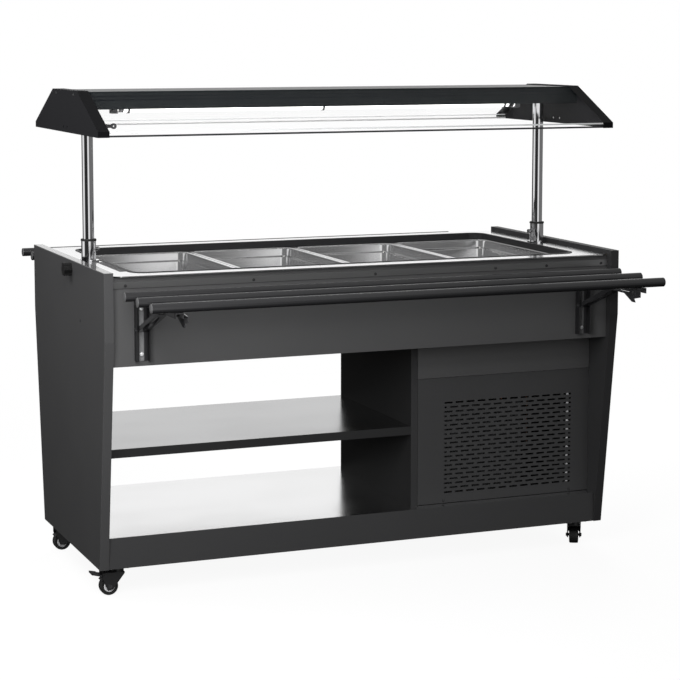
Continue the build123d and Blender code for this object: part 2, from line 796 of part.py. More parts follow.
# Canopy end plates: folded trays, flanged along the top and both slopes, open below
canopy_outline = [(-canopy_half_top, canopy_top), (canopy_half_top, canopy_top), (canopy_half_depth, canopy_knee),
                  (canopy_half_depth, canopy_bottom), (-canopy_half_depth, canopy_bottom),
                  (-canopy_half_depth, canopy_knee)]
with BuildPart() as canopy_end_plates:
    for side in (-1, 1):
        with BuildSketch(Plane.YZ.offset(side * canopy_half)):
            Polygon(*canopy_outline, align=None)
        extrude(amount=-side * canopy_flange)
        with BuildSketch(Plane.YZ.offset(side * (canopy_half - canopy_plate))):
            Polygon(*canopy_outline, align=None)
            offset(amount=-canopy_plate, kind=Kind.INTERSECTION)
            with Locations((0, canopy_bottom)):
                Rectangle(2 * (canopy_half_depth - canopy_plate), 2 * canopy_plate)
        extrude(amount=-side * canopy_flange, mode=Mode.SUBTRACT)
        with BuildSketch(Plane.YZ.offset(side * canopy_half)):
            with Locations(*[(y, canopy_bottom + plate_hole_lift) for y in plate_hole_y]):
                Circle(plate_hole / 2)
        extrude(amount=-side * canopy_plate, mode=Mode.SUBTRACT)
keep(canopy_end_plates, "canopy_end_plates")

# Canopy profile: wide channel open below, grooved along both faces, lipped at the bottom
roof_top = canopy_top - canopy_plate - roof_gap
roof_half = canopy_half - canopy_plate - roof_gap
roof_half_depth = canopy_half_top - canopy_plate
with BuildPart() as canopy_profile:
    with BuildSketch(Plane.YZ.offset(-roof_half)):
        with Locations((0, (roof_top + roof_bottom) / 2)):
            Rectangle(2 * roof_half_depth, roof_top - roof_bottom)
        with Locations((0, (roof_top + roof_bottom) / 2 - roof_wall)):
            Rectangle(2 * (roof_half_depth - roof_wall), roof_top - roof_bottom, mode=Mode.SUBTRACT)
        for side in (-1, 1):
            with Locations((side * (roof_half_depth - roof_lip / 2), roof_bottom + roof_wall / 2)):
                Rectangle(roof_lip, roof_wall)
            with Locations(*[(side * (roof_half_depth - roof_groove_depth / 2), z) for z in roof_groove_z]):
                Rectangle(roof_groove_depth, roof_groove, mode=Mode.SUBTRACT)
    extrude(amount=2 * roof_half)
keep(canopy_profile, "canopy_profile")

# Posts: tubes with a flange screwed under the profile
roof_under = roof_top - roof_wall
with BuildPart() as canopy_posts:
    with BuildSketch(Plane.XY.offset(post_bottom)):
        with Locations((-post_x, 0), (post_x, 0)):
            Circle(post_diameter / 2)
            Circle(post_diameter / 2 - post_wall, mode=Mode.SUBTRACT)
    extrude(amount=roof_under - post_bottom)
    with BuildSketch(Plane.XY.offset(roof_under)):
        with Locations((-post_x, 0), (post_x, 0)):
            Circle(post_cap / 2)
    extrude(amount=-post_cap_thick)
keep(canopy_posts, "canopy_posts")

# Lamp tube and its holders and clips
with BuildPart() as lamp_tube:
    with BuildSketch(Plane.YZ.offset(-lamp_half)):
        with Locations((0, lamp_z)):
            Circle(lamp_diameter / 2)
    extrude(amount=2 * lamp_half)
keep(lamp_tube, "lamp_tube")

with BuildPart() as lamp_holders:
    for side in (-1, 1):
        with BuildSketch(Plane.XY.offset(roof_under)):
            with Locations((side * (lamp_half + holder_length / 2), 0)):
                Rectangle(holder_length, holder_depth)
        extrude(amount=lamp_z - holder_drop - roof_under)
    for x in (-clip_x, 0, clip_x):
        with BuildSketch(Plane.YZ.offset(x)):
            with Locations((0, lamp_z)):
                Circle(lamp_diameter / 2 + clip_fit + clip_wall)
            with Locations((0, (lamp_z + roof_under) / 2)):
                Rectangle(clip_stem, roof_under - lamp_z)
            with Locations((0, lamp_z)):
                Circle(lamp_diameter / 2 + clip_fit, mode=Mode.SUBTRACT)
        extrude(amount=clip_width / 2, both=True)
keep(lamp_holders, "lamp_holders")

# Guard panes under the plate flanges, one each side
slope = Vector(0, canopy_half_top - canopy_half_depth, canopy_knee - canopy_top).normalized()
slope_out = Vector(0, slope.Z, -slope.Y)
with BuildPart() as guard_panes:
    pane_top = Vector(0, -canopy_half_top, canopy_top) + slope * pane_start - slope_out * (canopy_plate + pane_gap)
    pane_run = (pane_end_y - abs(pane_top.Y)) / abs(slope.Y)
    for side in (-1, 1):
        corners = [pane_top, pane_top + slope * pane_run, pane_top + slope * pane_run - slope_out * pane_thick,
                   pane_top - slope_out * pane_thick]
        with BuildSketch(Plane.YZ.offset(-roof_half)):
            Polygon(*[(-side * c.Y, c.Z) for c in corners], align=None)
        extrude(amount=2 * roof_half)
keep(guard_panes, "guard_panes")

# Guard fittings: the rods under the pane edges and the eye pin on the left plate
rod_half = canopy_half - canopy_plate - rod_gap
with BuildPart() as guard_fittings:
    with BuildSketch(Plane.YZ.offset(-rod_half)):
        with Locations((-rod_y, rod_z), (rod_y, rod_z)):
            Circle(rod_diameter / 2)
    extrude(amount=2 * rod_half)
    with BuildSketch(Plane.YZ.offset(-rod_half)):
        with Locations((eye_y, eye_z)):
            Circle(eye_shank / 2)
    extrude(amount=rod_half + eye_x - eye_ring)
    with BuildSketch(Plane.XZ.offset(-eye_y)):
        with Locations((eye_x, eye_z)):
            Circle(eye_ring + eye_wire)
            Circle(eye_ring - eye_wire, mode=Mode.SUBTRACT)
    extrude(amount=eye_wire, both=True)
keep(guard_fittings, "guard_fittings")

# Folding tray slides
hinge_z = tube_z - tube_diameter / 2 - tube_seat - arm_web - roller - roller_gap
strut_z = hinge_z - strut_drop
arm_top = hinge_z + roller + roller_gap + arm_web
tip_out = tube_out[1] - pivot_out
strut_length = hypot(tip_out, strut_drop)
strut_angle = atan2(strut_drop, tip_out)
window_length = strut_length - 2 * roller - 2 * strut_bridge


def side_plane(x, side):
    """Plane across the counter at x: first axis out from the apron, second axis up."""
    return Plane(origin=(x, side * apron_face, 0), x_dir=(0, side, 0), z_dir=(side, 0, 0))


# Wall channels with the hinge pin above and two strut studs below
with BuildPart() as bracket_plates:
    for side in (-1, 1):
        for x in (-bracket_x, bracket_x):
            with BuildSketch(side_plane(x, side)):
                with Locations((plate_depth / 2, plate_bottom + plate_height / 2)):
                    Rectangle(plate_depth, plate_height)
            extrude(amount=plate_width / 2, both=True)
            with BuildSketch(side_plane(x, side)):
                with Locations((plate_depth / 2 + plate_wall, plate_bottom + plate_height / 2)):
                    Rectangle(plate_depth, plate_height)
            extrude(amount=plate_width / 2 - plate_wall, both=True, mode=Mode.SUBTRACT)
            with BuildSketch(side_plane(x, side)):
                with Locations((pivot_out, hinge_z)):
                    Circle(pin_diameter / 2)
            extrude(amount=plate_width / 2, both=True)
            for end in (-1, 1):
                with BuildSketch(side_plane(x, side).offset(end * plate_width / 2)):
                    with Locations((pivot_out, strut_z)):
                        Circle(pin_diameter / 2)
                extrude(amount=-end * (plate_width - strut_width) / 2 - end * strut_wall)
keep(bracket_plates, "bracket_plates")

for side, word in ((-1, "front"), (1, "rear")):
    # Rails with plugged ends on two arms: shallow channels open below, hinged on the wall channels
    with BuildPart() as tray_slide:
        with BuildSketch(Plane.YZ.offset(-tube_half)):
            with Locations(*[(side * (apron_face + out), tube_z) for out in tube_out]):
                Circle(tube_diameter / 2)
                Circle(tube_diameter / 2 - tube_wall, mode=Mode.SUBTRACT)
        extrude(amount=2 * tube_half)
        for end in (-1, 1):
            with BuildSketch(Plane.YZ.offset(end * tube_half)):
                with Locations(*[(side * (apron_face + out), tube_z) for out in tube_out]):
                    Circle(tube_diameter / 2)
            extrude(amount=-end * plug_head)
        for x in (-bracket_x, bracket_x):
            inward = -1 if x > 0 else 1
            with BuildSketch(side_plane(x, side)):
                with Locations((pivot_out + arm_end / 2, (arm_top + hinge_z - arm_below) / 2)):
                    Rectangle(arm_end, arm_top - hinge_z + arm_below)
                with Locations((pivot_out, hinge_z)):
                    Circle(hinge_ear)
            extrude(amount=arm_width / 2, both=True)
            with BuildSketch(side_plane(x, side)):
                with Locations((pivot_out + arm_end / 2 - hinge_ear, hinge_z + roller + roller_gap - roller * 2)):
                    Rectangle(arm_end + 4 * hinge_ear, roller * 4)
            extrude(amount=arm_width / 2 - arm_wall, both=True, mode=Mode.SUBTRACT)
            with BuildSketch(side_plane(x, side)):
                with Locations((pivot_out, hinge_z)):
                    Circle(pin_diameter / 2 + pin_fit)
            extrude(amount=arm_width, both=True, mode=Mode.SUBTRACT)
            with BuildSketch(side_plane(x + inward * arm_width / 2, side)):
                with Locations((pivot_out + lever_pivot[0], hinge_z + lever_pivot[1])):
                    Circle(lever_pin / 2)
            extrude(amount=side * inward * (lever_inner + lever_thick - arm_width / 2))
    keep(tray_slide, f"{word}_tray_slide")

    # Struts: channels astride the arms, open upwards, with a long window in the web
    with BuildPart() as struts:
        for x in (-bracket_x, bracket_x):
            foot = (x, side * (apron_face + pivot_out), strut_z)
            along = (0, side * cos(strut_angle), sin(strut_angle))
            strut_plane = Plane(origin=foot, x_dir=along, z_dir=(side, 0, 0))
            with BuildSketch(strut_plane):
                with Locations((strut_length / 2, 0)):
                    Rectangle(strut_length, 2 * strut_half)
                Circle(strut_half)
                with Locations((strut_length, 0)):
                    Circle(roller)
            extrude(amount=strut_width / 2, both=True)
            with BuildSketch(strut_plane):
                with Locations((strut_length / 2, strut_web + strut_half)):
                    Rectangle(2 * strut_length, 4 * strut_half)
                with Locations((strut_length, 0)):
                    Rectangle(4 * roller, 4 * strut_half)
            extrude(amount=strut_width / 2 - strut_wall, both=True, mode=Mode.SUBTRACT)
            with BuildSketch(strut_plane):
                Circle(pin_diameter / 2 + pin_fit)
            extrude(amount=strut_width, both=True, mode=Mode.SUBTRACT)
            across_web = (0, -side * sin(strut_angle), cos(strut_angle))
            with BuildSketch(Plane(origin=foot, x_dir=along, z_dir=across_web)):
                with Locations(((strut_length - 2 * roller) / 2, 0)):
                    SlotOverall(window_length, strut_window)
            extrude(amount=2 * strut_half, both=True, mode=Mode.SUBTRACT)
    keep(struts, f"{word}_slide_struts")

    # Release levers: fishtail plates on the inner face of each arm
    for x, hand in ((-bracket_x, "left"), (bracket_x, "right")):
        inward = -1 if x > 0 else 1
        with BuildPart() as lever:
            with BuildSketch(side_plane(x + inward * lever_inner, side)):
                with Locations((pivot_out, hinge_z)):
                    Polygon(*lever_outline, align=None)
                with Locations((pivot_out + lever_pivot[0], hinge_z + lever_pivot[1])):
                    Circle(lever_pin / 2 + pin_fit, mode=Mode.SUBTRACT)
                with Locations((pivot_out + lever_hole_at[0], hinge_z + lever_hole_at[1])):
                    Circle(lever_hole / 2, mode=Mode.SUBTRACT)
            extrude(amount=side * inward * lever_thick)
        keep(lever, f"{word}_{hand}_lever")

# Casters: fixed top plates with kingpins, then a fork, a wheel and, in front, a brake pedal
with BuildPart() as caster_plates:
    with BuildSketch(Plane.XY.offset(base_clear)):
        with GridLocations(2 * caster_x, 2 * caster_y, 2, 2):
            Rectangle(caster_plate, caster_plate)
    extrude(amount=-caster_plate_thick)
    with BuildSketch(Plane.XY.offset(base_clear - caster_plate_thick)):
        with GridLocations(2 * caster_x, 2 * caster_y, 2, 2):
            Circle(kingpin / 2)
    extrude(amount=-kingpin_length)
keep(caster_plates, "caster_plates")

wheel_radius = wheel_diameter / 2
cheek_in = wheel_width / 2 + cheek_gap
cheek_out = cheek_in + cheek_wall
swivel_top = base_clear - caster_plate_thick - swivel_gap
for name, (sx, sy) in caster_at.items():
    turn = radians(caster_turn[name])
    trail = (cos(turn), sin(turn), 0)
    across = (sin(turn), -cos(turn), 0)
    swivel = (sx * caster_x, sy * caster_y, 0)
    upright = Plane(origin=swivel, x_dir=trail, z_dir=across)
    flat = Plane(origin=swivel, x_dir=trail, z_dir=(0, 0, 1))
    with BuildPart() as fork:
        with BuildSketch(upright):
            Polygon((-fork_back, crown_top), (fork_front, crown_top), (fork_front, fork_front_low),
                    (caster_trail + fork_foot_half, wheel_radius - fork_foot_drop),
                    (caster_trail - fork_foot_half, wheel_radius - fork_foot_drop),
                    (-fork_back, crown_top - crown_thick), align=None)
        extrude(amount=cheek_out, both=True)
        with BuildSketch(upright):
            with Locations((0, (crown_top - crown_thick) / 2)):
                Rectangle(8 * wheel_radius, crown_top - crown_thick)
        extrude(amount=cheek_in, both=True, mode=Mode.SUBTRACT)
        with BuildSketch(flat.offset(crown_top)):
            Circle(swivel_diameter / 2)
        extrude(amount=swivel_top - crown_top)
        with BuildSketch(flat.offset(crown_top - crown_thick)):
            Circle(kingpin / 2 + axle_fit)
        extrude(amount=swivel_diameter, mode=Mode.SUBTRACT)
        with BuildSketch(upright):
            with Locations((caster_trail, wheel_radius)):
                Circle(axle_diameter / 2)
        extrude(amount=cheek_out, both=True)
        if sy < 0:
            with BuildSketch(upright):
                with Locations(pedal_pivot):
                    Circle(pedal_bar / 2 + axle_fit)
            extrude(amount=2 * cheek_out, both=True, mode=Mode.SUBTRACT)
    keep(fork, f"{name}_fork")

    with BuildPart() as wheel:
        with BuildSketch(upright):
            with Locations((caster_trail, wheel_radius)):
                Circle(wheel_radius)
        extrude(amount=wheel_width / 2, both=True)
        fillet(wheel.edges(), wheel_round)
        for end in (-1, 1):
            with BuildSketch(upright.offset(end * wheel_width / 2)):
                with Locations((caster_trail, wheel_radius)):
                    Circle(hub_outer / 2)
                    Circle(hub_inner / 2, mode=Mode.SUBTRACT)
            extrude(amount=-end * hub_recess, mode=Mode.SUBTRACT)
        with BuildSketch(upright):
            with Locations((caster_trail, wheel_radius)):
                Circle(axle_diameter / 2 + axle_fit)
        extrude(amount=wheel_width, both=True, mode=Mode.SUBTRACT)
    keep(wheel, f"{name}_wheel")

    if sy < 0:
        with BuildPart() as pedal:
            with BuildSketch(upright):
                with Locations(pedal_pivot):
                    Circle(pedal_bar / 2)
            extrude(amount=cheek_out + pedal_bar_over, both=True)
            with BuildSketch(upright):
                Polygon((pedal_pivot[0], pedal_pivot[1] - pedal_neck_half),
                        (pedal_pivot[0], pedal_pivot[1] + pedal_neck_half),
                        (pedal_neck[0], pedal_pivot[1] + pedal_neck_half), (pedal_length, pedal_tip_z),
                        (pedal_length, pedal_tip_z - pedal_thick),
                        (pedal_neck[0], pedal_pivot[1] - pedal_neck[1]), align=None)
            extrude(amount=cheek_in - pedal_side_gap, both=True)
            with BuildSketch(upright):
                Polygon((pedal_tread[0], pedal_tread[1]), (pedal_tread[0], pedal_tread[2]),
                        (pedal_length, pedal_tip_z), (pedal_length, pedal_tip_z - pedal_thick), align=None)
            extrude(amount=pedal_width / 2, both=True)
        keep(pedal, f"{name}_pedal")
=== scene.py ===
"""Refrigerated buffet counter, dressed for its picture. Metres, floor at zero, front towards -Y."""

import json
import math

import bmesh
import bpy
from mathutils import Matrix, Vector


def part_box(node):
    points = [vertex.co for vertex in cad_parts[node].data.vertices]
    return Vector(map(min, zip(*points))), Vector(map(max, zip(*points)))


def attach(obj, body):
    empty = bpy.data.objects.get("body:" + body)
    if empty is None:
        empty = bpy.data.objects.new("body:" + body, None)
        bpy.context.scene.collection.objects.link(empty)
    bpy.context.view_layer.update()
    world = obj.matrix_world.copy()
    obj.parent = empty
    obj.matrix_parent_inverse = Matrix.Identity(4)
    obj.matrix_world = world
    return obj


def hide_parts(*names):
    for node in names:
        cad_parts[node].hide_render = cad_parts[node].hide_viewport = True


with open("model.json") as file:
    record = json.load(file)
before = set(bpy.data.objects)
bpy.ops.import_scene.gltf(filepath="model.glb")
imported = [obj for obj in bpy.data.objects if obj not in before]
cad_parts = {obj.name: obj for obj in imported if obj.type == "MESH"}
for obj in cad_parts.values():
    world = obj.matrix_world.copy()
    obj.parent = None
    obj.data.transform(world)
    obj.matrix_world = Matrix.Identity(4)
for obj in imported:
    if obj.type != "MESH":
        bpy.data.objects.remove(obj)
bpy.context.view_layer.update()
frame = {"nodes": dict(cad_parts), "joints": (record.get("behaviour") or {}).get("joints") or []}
nodes = frame["nodes"]
joints = {joint["name"]: joint for joint in frame["joints"]}
scene = bpy.context.scene


# Studio: a pale seamless floor in a white surround, lit by broad lamps at the front left, the left, above and
# behind. Polished metal mirrors a white far wall, a tall panel on either side and a dim room higher up.
# The camera stands where the photograph was taken from and looks slightly down.
class Wire:
    """A node's output that takes part in plain sums."""

    def __init__(self, net, socket):
        self.net = net
        self.socket = socket

    def sum(self, operation, first, second):
        return self.net.node("ShaderNodeMath", {"operation": operation}, {0: first, 1: second})

    def __add__(self, other):
        return self.sum("ADD", self, other)

    def __radd__(self, other):
        return self.sum("ADD", other, self)

    def __rsub__(self, other):
        return self.sum("SUBTRACT", other, self)

    def __mul__(self, other):
        return self.sum("MULTIPLY", self, other)

    def __rmul__(self, other):
        return self.sum("MULTIPLY", other, self)


class Net:
    """A node tree whose nodes are added one call at a time."""

    def __init__(self, tree):
        self.tree = tree
        self.tree.nodes.clear()

    def node(self, kind, settings=None, values=None, out=0):
        made = self.tree.nodes.new(kind)
        for key, value in (settings or {}).items():
            setattr(made, key, value)
        for key, value in (values or {}).items():
            if isinstance(value, Wire):
                self.tree.links.new(value.socket, made.inputs[key])
            else:
                made.inputs[key].default_value = value
        return Wire(self, made.outputs[out]) if len(made.outputs) else made

    def eased(self, value, low, high, at_low=0.0, at_high=1.0):
        ends = {"From Min": low, "From Max": high, "To Min": at_low, "To Max": at_high}
        return self.node("ShaderNodeMapRange", {"interpolation_type": "SMOOTHSTEP"}, {"Value": value, **ends})

    def split(self, vector, axis):
        return self.node("ShaderNodeSeparateXYZ", None, {"Vector": vector}, out=axis)

    def ray(self, kind):
        return self.node("ShaderNodeLightPath", out=f"Is {kind} Ray")


class Finish(Net):
    """A material made of noise fields on Object coordinates and one shader."""

    def __init__(self, name):
        self.material = bpy.data.materials.new(name)
        self.material.use_nodes = True
        super().__init__(self.material.node_tree)
        self.place = self.node("ShaderNodeTexCoord", out="Object")

    def noise(self, size, stretch=(1.0, 1.0, 1.0), detail=3.0):
        spot = self.node("ShaderNodeMapping", None, {"Vector": self.place, "Scale": stretch})
        return self.node("ShaderNodeTexNoise", None, {"Vector": spot, "Scale": 1.0 / size, "Detail": detail})

    def facing(self, axis):
        return self.split(self.node("ShaderNodeTexCoord", out="Normal"), axis)

    def tint(self, factor, low, high):
        return self.blend(factor, (*low, 1.0), (*high, 1.0))

    def blend(self, factor, low, high):
        return self.node("ShaderNodeMix", {"data_type": "RGBA"}, {0: factor, 6: low, 7: high}, out=2)

    def done(self, values, relief=None, depth=0.0):
        values = dict(values)
        if relief is not None:
            bump = {"Height": relief, "Distance": depth, "Strength": 1.0}
            values["Normal"] = self.node("ShaderNodeBump", None, bump)
        return self.shown(self.node("ShaderNodeBsdfPrincipled", None, values))

    def shown(self, shader):
        self.node("ShaderNodeOutputMaterial", None, {"Surface": shader})
        return self.material


scene.view_settings.view_transform = "Standard"
surround = bpy.data.worlds.new("surround")
scene.world = surround
surround.use_nodes = True
sky = Net(surround.node_tree)
look = sky.node("ShaderNodeTexCoord", out="Generated")


def toward(way):
    return sky.node("ShaderNodeVectorMath", {"operation": "DOT_PRODUCT"}, {0: look, 1: way}, out="Value")


white = (1.0, 1.0, 1.0, 1.0)
unlit, panel_glow, wall_glow, room_glow = 0.03, 0.9, 0.16, 0.34
frontness = toward((-0.37, -0.929, 0.0))
sideness = toward((0.929, -0.37, 0.0))
height = sky.split(look, "Z")
far_wall = sky.eased(frontness, -0.87, -0.95)
left_panel = sky.eased(sideness, -0.80, -0.90) * sky.eased(frontness, -0.30, -0.15)
right_panel = sky.eased(sideness, 0.08, 0.17) * sky.eased(sideness, 0.68, 0.56)
right_panel = right_panel * sky.eased(frontness, 0.45, 0.60)
right_wall = sky.eased(sideness, 0.55, 0.85)
ceiling = sky.eased(height, 0.22, 0.55, 1.0, 0.10)
below = sky.eased(height, -0.22, -0.55, 1.0, 0.10)
panels = unlit + far_wall + panel_glow * left_panel + panel_glow * right_panel + wall_glow * right_wall
panels = panels * ceiling * below
room = sky.eased(height, 0.04, 0.30, 0.0, room_glow)
mirrored = sky.node("ShaderNodeMath", {"operation": "MAXIMUM"}, {0: panels, 1: room})
ambient = sky.eased(height, -0.2, 0.8, 0.06, 0.24)
seen = sky.ray("Camera")
glossy = sky.ray("Glossy")
through = sky.ray("Transmission")
plainly = seen + (1 - seen) * through * sky.eased(height, 0.25, 0.45, 1.0, 0.0)
level = plainly + (1 - plainly) * (glossy * mirrored + (1 - glossy) * ambient)
glow = sky.node("ShaderNodeBackground", None, {"Color": white, "Strength": level})
sky.node("ShaderNodeOutputWorld", None, {"Surface": glow})


def mesh_of(name, form):
    mesh = bpy.data.meshes.new(name)
    form.to_mesh(mesh)
    form.free()
    return mesh


def placed(name, data):
    made = bpy.data.objects.new(name, data)
    scene.collection.objects.link(made)
    return made


floor_half = 14.0
floor_near, floor_far = 1.2, 3.0
floor_form = bmesh.new()
bmesh.ops.create_grid(floor_form, x_segments=8, y_segments=8, size=floor_half)
floor = placed("floor", mesh_of("floor", floor_form))
paper = Finish("pale_floor")
floor_tone = paper.tint(paper.noise(0.4), (0.86, 0.86, 0.86), (0.9, 0.9, 0.9))
floor_direct = paper.ray("Camera")
floor_seen = floor_direct + (1 - floor_direct) * paper.ray("Transmission")
floor_bounce = paper.blend(floor_seen, (0.06, 0.06, 0.06, 1.0), floor_tone)
floor_lit = paper.node("ShaderNodeBsdfDiffuse", None, {"Color": floor_bounce})
floor_white = paper.node("ShaderNodeEmission", None, {"Color": white, "Strength": 1.0})
floor_reach = paper.node("ShaderNodeVectorMath", {"operation": "LENGTH"}, {0: paper.place}, out="Value")
floor_share = floor_seen * paper.eased(floor_reach, floor_near, floor_far, 0.93, 1.0)
floor_shader = paper.node("ShaderNodeMixShader", None, {0: floor_share, 1: floor_lit, 2: floor_white})
floor.data.materials.append(paper.shown(floor_shader))
floor.visible_glossy = False


def lamp(name, place, aim, size, watts):
    data = bpy.data.lights.new(name, "AREA")
    data.shape = "RECTANGLE"
    data.size, data.size_y = size
    data.energy = watts
    made = placed(name, data)
    made.location = place
    made.rotation_euler = (Vector(aim) - Vector(place)).to_track_quat("-Z", "Y").to_euler()
    made.visible_glossy = False
    made.visible_transmission = False


lamp("key_lamp", place=(-1.35, -1.9, 1.6), aim=(-0.5, 0.0, 0.6), size=(1.1, 1.7), watts=74.0)
lamp("side_lamp", place=(-1.8, 0.1, 2.0), aim=(-0.75, 0.0, 0.9), size=(1.0, 0.6), watts=22.0)
lamp("top_lamp", place=(0.2, 0.9, 3.7), aim=(0.0, 0.0, 0.8), size=(2.6, 1.6), watts=46.0)
lamp("back_lamp", place=(1.6, 2.4, 1.5), aim=(0.3, 0.0, 0.6), size=(1.6, 1.4), watts=70.0)

yaw = 0.3795
pitch = 0.1119
view = bpy.data.cameras.new("view")
view.lens = 105.92
view.shift_x = 0.012
view.shift_y = -0.12
camera = placed("camera", view)
camera.location = (-2.1143, -5.3742, 1.5046)
camera.rotation_euler = (math.pi / 2 - pitch, 0.0, -yaw)
scene.camera = camera


# End panels: two 25 mm boards pressed with a charcoal laminate that has a fine pebbled face, lacquered along
# the top edge of the left one. The right one wears a darker, matter copy of the laminate, which is painted
# shade.
# They stand the full height of the cabinet and are screwed on from inside, so only one small plastic plug
# shows on each outer face.
def dress(finish, *names):
    for name in names:
        for slot in nodes[name].material_slots:
            slot.material = finish


def skin(form, low, high):
    """Faces between two rings of points, one of which may be a single point."""
    count = max(len(low), len(high))
    for k in range(count):
        ring = [low[k % len(low)], low[(k + 1) % len(low)], high[(k + 1) % len(high)], high[k % len(high)]]
        corners = []
        for corner in ring:
            if corner not in corners:
                corners.append(corner)
        form.faces.new(corners)


def turned(form, profile, centre, axis, steps):
    """A lathe shape: (radius, height) pairs turned about an axis through a centre."""
    turn = Vector((0.0, 0.0, 1.0)).rotation_difference(Vector(axis)).to_matrix()
    rings = []
    for radius, rise in profile:
        count = steps if radius > 0 else 1
        angles = [2 * math.pi * k / count for k in range(count)]
        spots = [Vector((radius * math.cos(a), radius * math.sin(a), rise)) for a in angles]
        rings.append([form.verts.new(turn @ spot + Vector(centre)) for spot in spots])
    for low, high in zip(rings, rings[1:]):
        skin(form, low, high)


def smoothed(mesh, crease):
    mesh.shade_smooth()
    mesh.set_sharp_from_angle(angle=math.radians(crease))


def piece(name, form, finish, body, stands_for=()):
    bmesh.ops.remove_doubles(form, verts=form.verts, dist=1e-6)
    bmesh.ops.recalc_face_normals(form, faces=form.faces)
    made = placed(name, mesh_of(name, form))
    smoothed(made.data, crease=35)
    made.data.materials.append(finish)
    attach(made, body)
    if stands_for:
        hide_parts(*stands_for)


def pressed_board(name, low, high, lacquer, sheen):
    pebble_size, pebble_depth, cloud_size = 0.0016, 0.00003, 0.22
    made = Finish(name)
    pebble = made.noise(pebble_size, detail=2.0)
    colour = made.tint(0.65 * made.noise(cloud_size) + 0.35 * pebble, low, high)
    top = made.eased(made.facing("Z"), 0.6, 0.8)
    return made.done({"Base Color": colour, "Roughness": 0.34 + 0.12 * pebble, "Specular IOR Level": sheen,
                      "Coat Weight": lacquer * top, "Coat Roughness": 0.06}, pebble, pebble_depth)


charcoal_board = pressed_board("charcoal_board", (0.043, 0.043, 0.044), (0.057, 0.057, 0.058), 1.0, 0.25)
# The right end panel's board is a darker, matter copy of the left one's: painted shade.
shaded_matt_board = pressed_board("shaded_matt_board", (0.026, 0.026, 0.027), (0.036, 0.036, 0.037), 0.0, 0.06)
dress(charcoal_board, "left_end_panel")
dress(shaded_matt_board, "right_end_panel")


def moulded(name, low, high, roughness):
    """Moulded plastic or rubber with a fine grain."""
    grain_size, grain_depth, cloud_size = 0.0007, 0.00003, 0.02
    made = Finish(name)
    grain = made.noise(grain_size, detail=2.0)
    colour = made.tint(0.5 * grain + 0.5 * made.noise(cloud_size), low, high)
    return made.done({"Base Color": colour, "Roughness": roughness + 0.12 * grain}, grain, grain_depth)


black_moulding = moulded("black_moulding", (0.010, 0.010, 0.011), (0.020, 0.020, 0.021), 0.38)
plug_radius, plug_sunk = 0.0045, -0.002
plug_y, plug_z = -0.140, 0.732
plug_profile = [(0, plug_sunk), (plug_radius, plug_sunk), (plug_radius, 0.0006), (plug_radius * 0.8, 0.0013),
                (0, 0.0015)]
plug_form = bmesh.new()
for side, panel in ((-1, "left_end_panel"), (1, "right_end_panel")):
    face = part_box(panel)[0].x if side < 0 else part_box(panel)[1].x
    turned(plug_form, plug_profile, (face, plug_y, plug_z), (side, 0, 0), steps=20)
piece("panel_plugs", plug_form, black_moulding, "cabinet")


# Base and shelf: folded sheet steel. The upper faces are bare satin steel that mirrors the surround,
# the turned-down edges and the plinth are powder coated charcoal like the rest of the casing. The plinth's
# coat
# is a darker copy of the aprons' charcoal, and the shelf's steel and coat are darker copies of the deck's:
# both are painted shade, low down and under the counter.
along_x = (0.025, 1.0, 1.0)


def satin_fields(made, stretch, low, high):
    """Brush lines, colour and roughness of a brushed sheet; the broad smears in the colour are partly wipe
    marks and partly painted reflection.
    """
    brush_size, smear_and_reflection_size = 0.0022, 0.20
    brush = made.noise(brush_size, stretch, 4.0)
    smear_and_reflection = made.eased(made.noise(smear_and_reflection_size, (0.5, 1.0, 1.0)), 0.3, 0.7)
    return brush, made.tint(0.4 * brush + 0.6 * smear_and_reflection, low, high), 0.10 + 0.06 * brush + 0.06 * smear_and_reflection


def folded_sheet(name, steel_low, steel_high, coat_low, coat_high):
    peel_size, peel_depth, cloud_size = 0.0028, 0.00002, 0.25
    made = Finish(name)
    brush, steel_colour, steel_rough = satin_fields(made, along_x, steel_low, steel_high)
    is_top = made.eased(made.facing("Z"), 0.6, 0.8)
    peel = made.noise(peel_size, detail=2.0)
    coat_colour = made.tint(0.5 * made.noise(cloud_size) + 0.5 * peel, coat_low, coat_high)
    colour = made.blend(is_top, coat_colour, steel_colour)
    roughness = is_top * (0.05 + steel_rough) + (1 - is_top) * (0.42 + 0.10 * peel)
    return made.done({"Base Color": colour, "Metallic": is_top, "Roughness": roughness}, peel, peel_depth)


# The deck sheet's coat, on the plinth, is a darker copy of the casing's charcoal: painted shade.
deck_sheet = folded_sheet("deck_sheet", (0.88, 0.88, 0.885), (1.0, 1.0, 1.0),
                          (0.026, 0.026, 0.027), (0.038, 0.038, 0.039))
# The shelf sheet's steel and coat are darker copies of the deck sheet's: painted shade under the counter.
shaded_shelf_sheet = folded_sheet("shaded_shelf_sheet", (0.36, 0.36, 0.365), (0.48, 0.48, 0.485),
                           (0.008, 0.008, 0.0085), (0.014, 0.014, 0.0145))
dress(deck_sheet, "base_deck")
dress(shaded_shelf_sheet, "storage_shelf")


# Aprons and trim: folded sheet in front of and behind the tank, powder coated charcoal, with a
# satin aluminium strip screwed along the top edge of each. The screws are cross-headed and blacked.
def coated(name, low, high, roughness, peel_size=0.0028, depth=0.00003):
    """Powder coat or paint with a fine peel."""
    cloud_size = 0.25
    made = Finish(name)
    peel = made.noise(peel_size, detail=2.0)
    colour = made.tint(0.6 * made.noise(cloud_size) + 0.4 * peel, low, high)
    return made.done({"Base Color": colour, "Roughness": roughness + 0.12 * peel}, peel, depth)


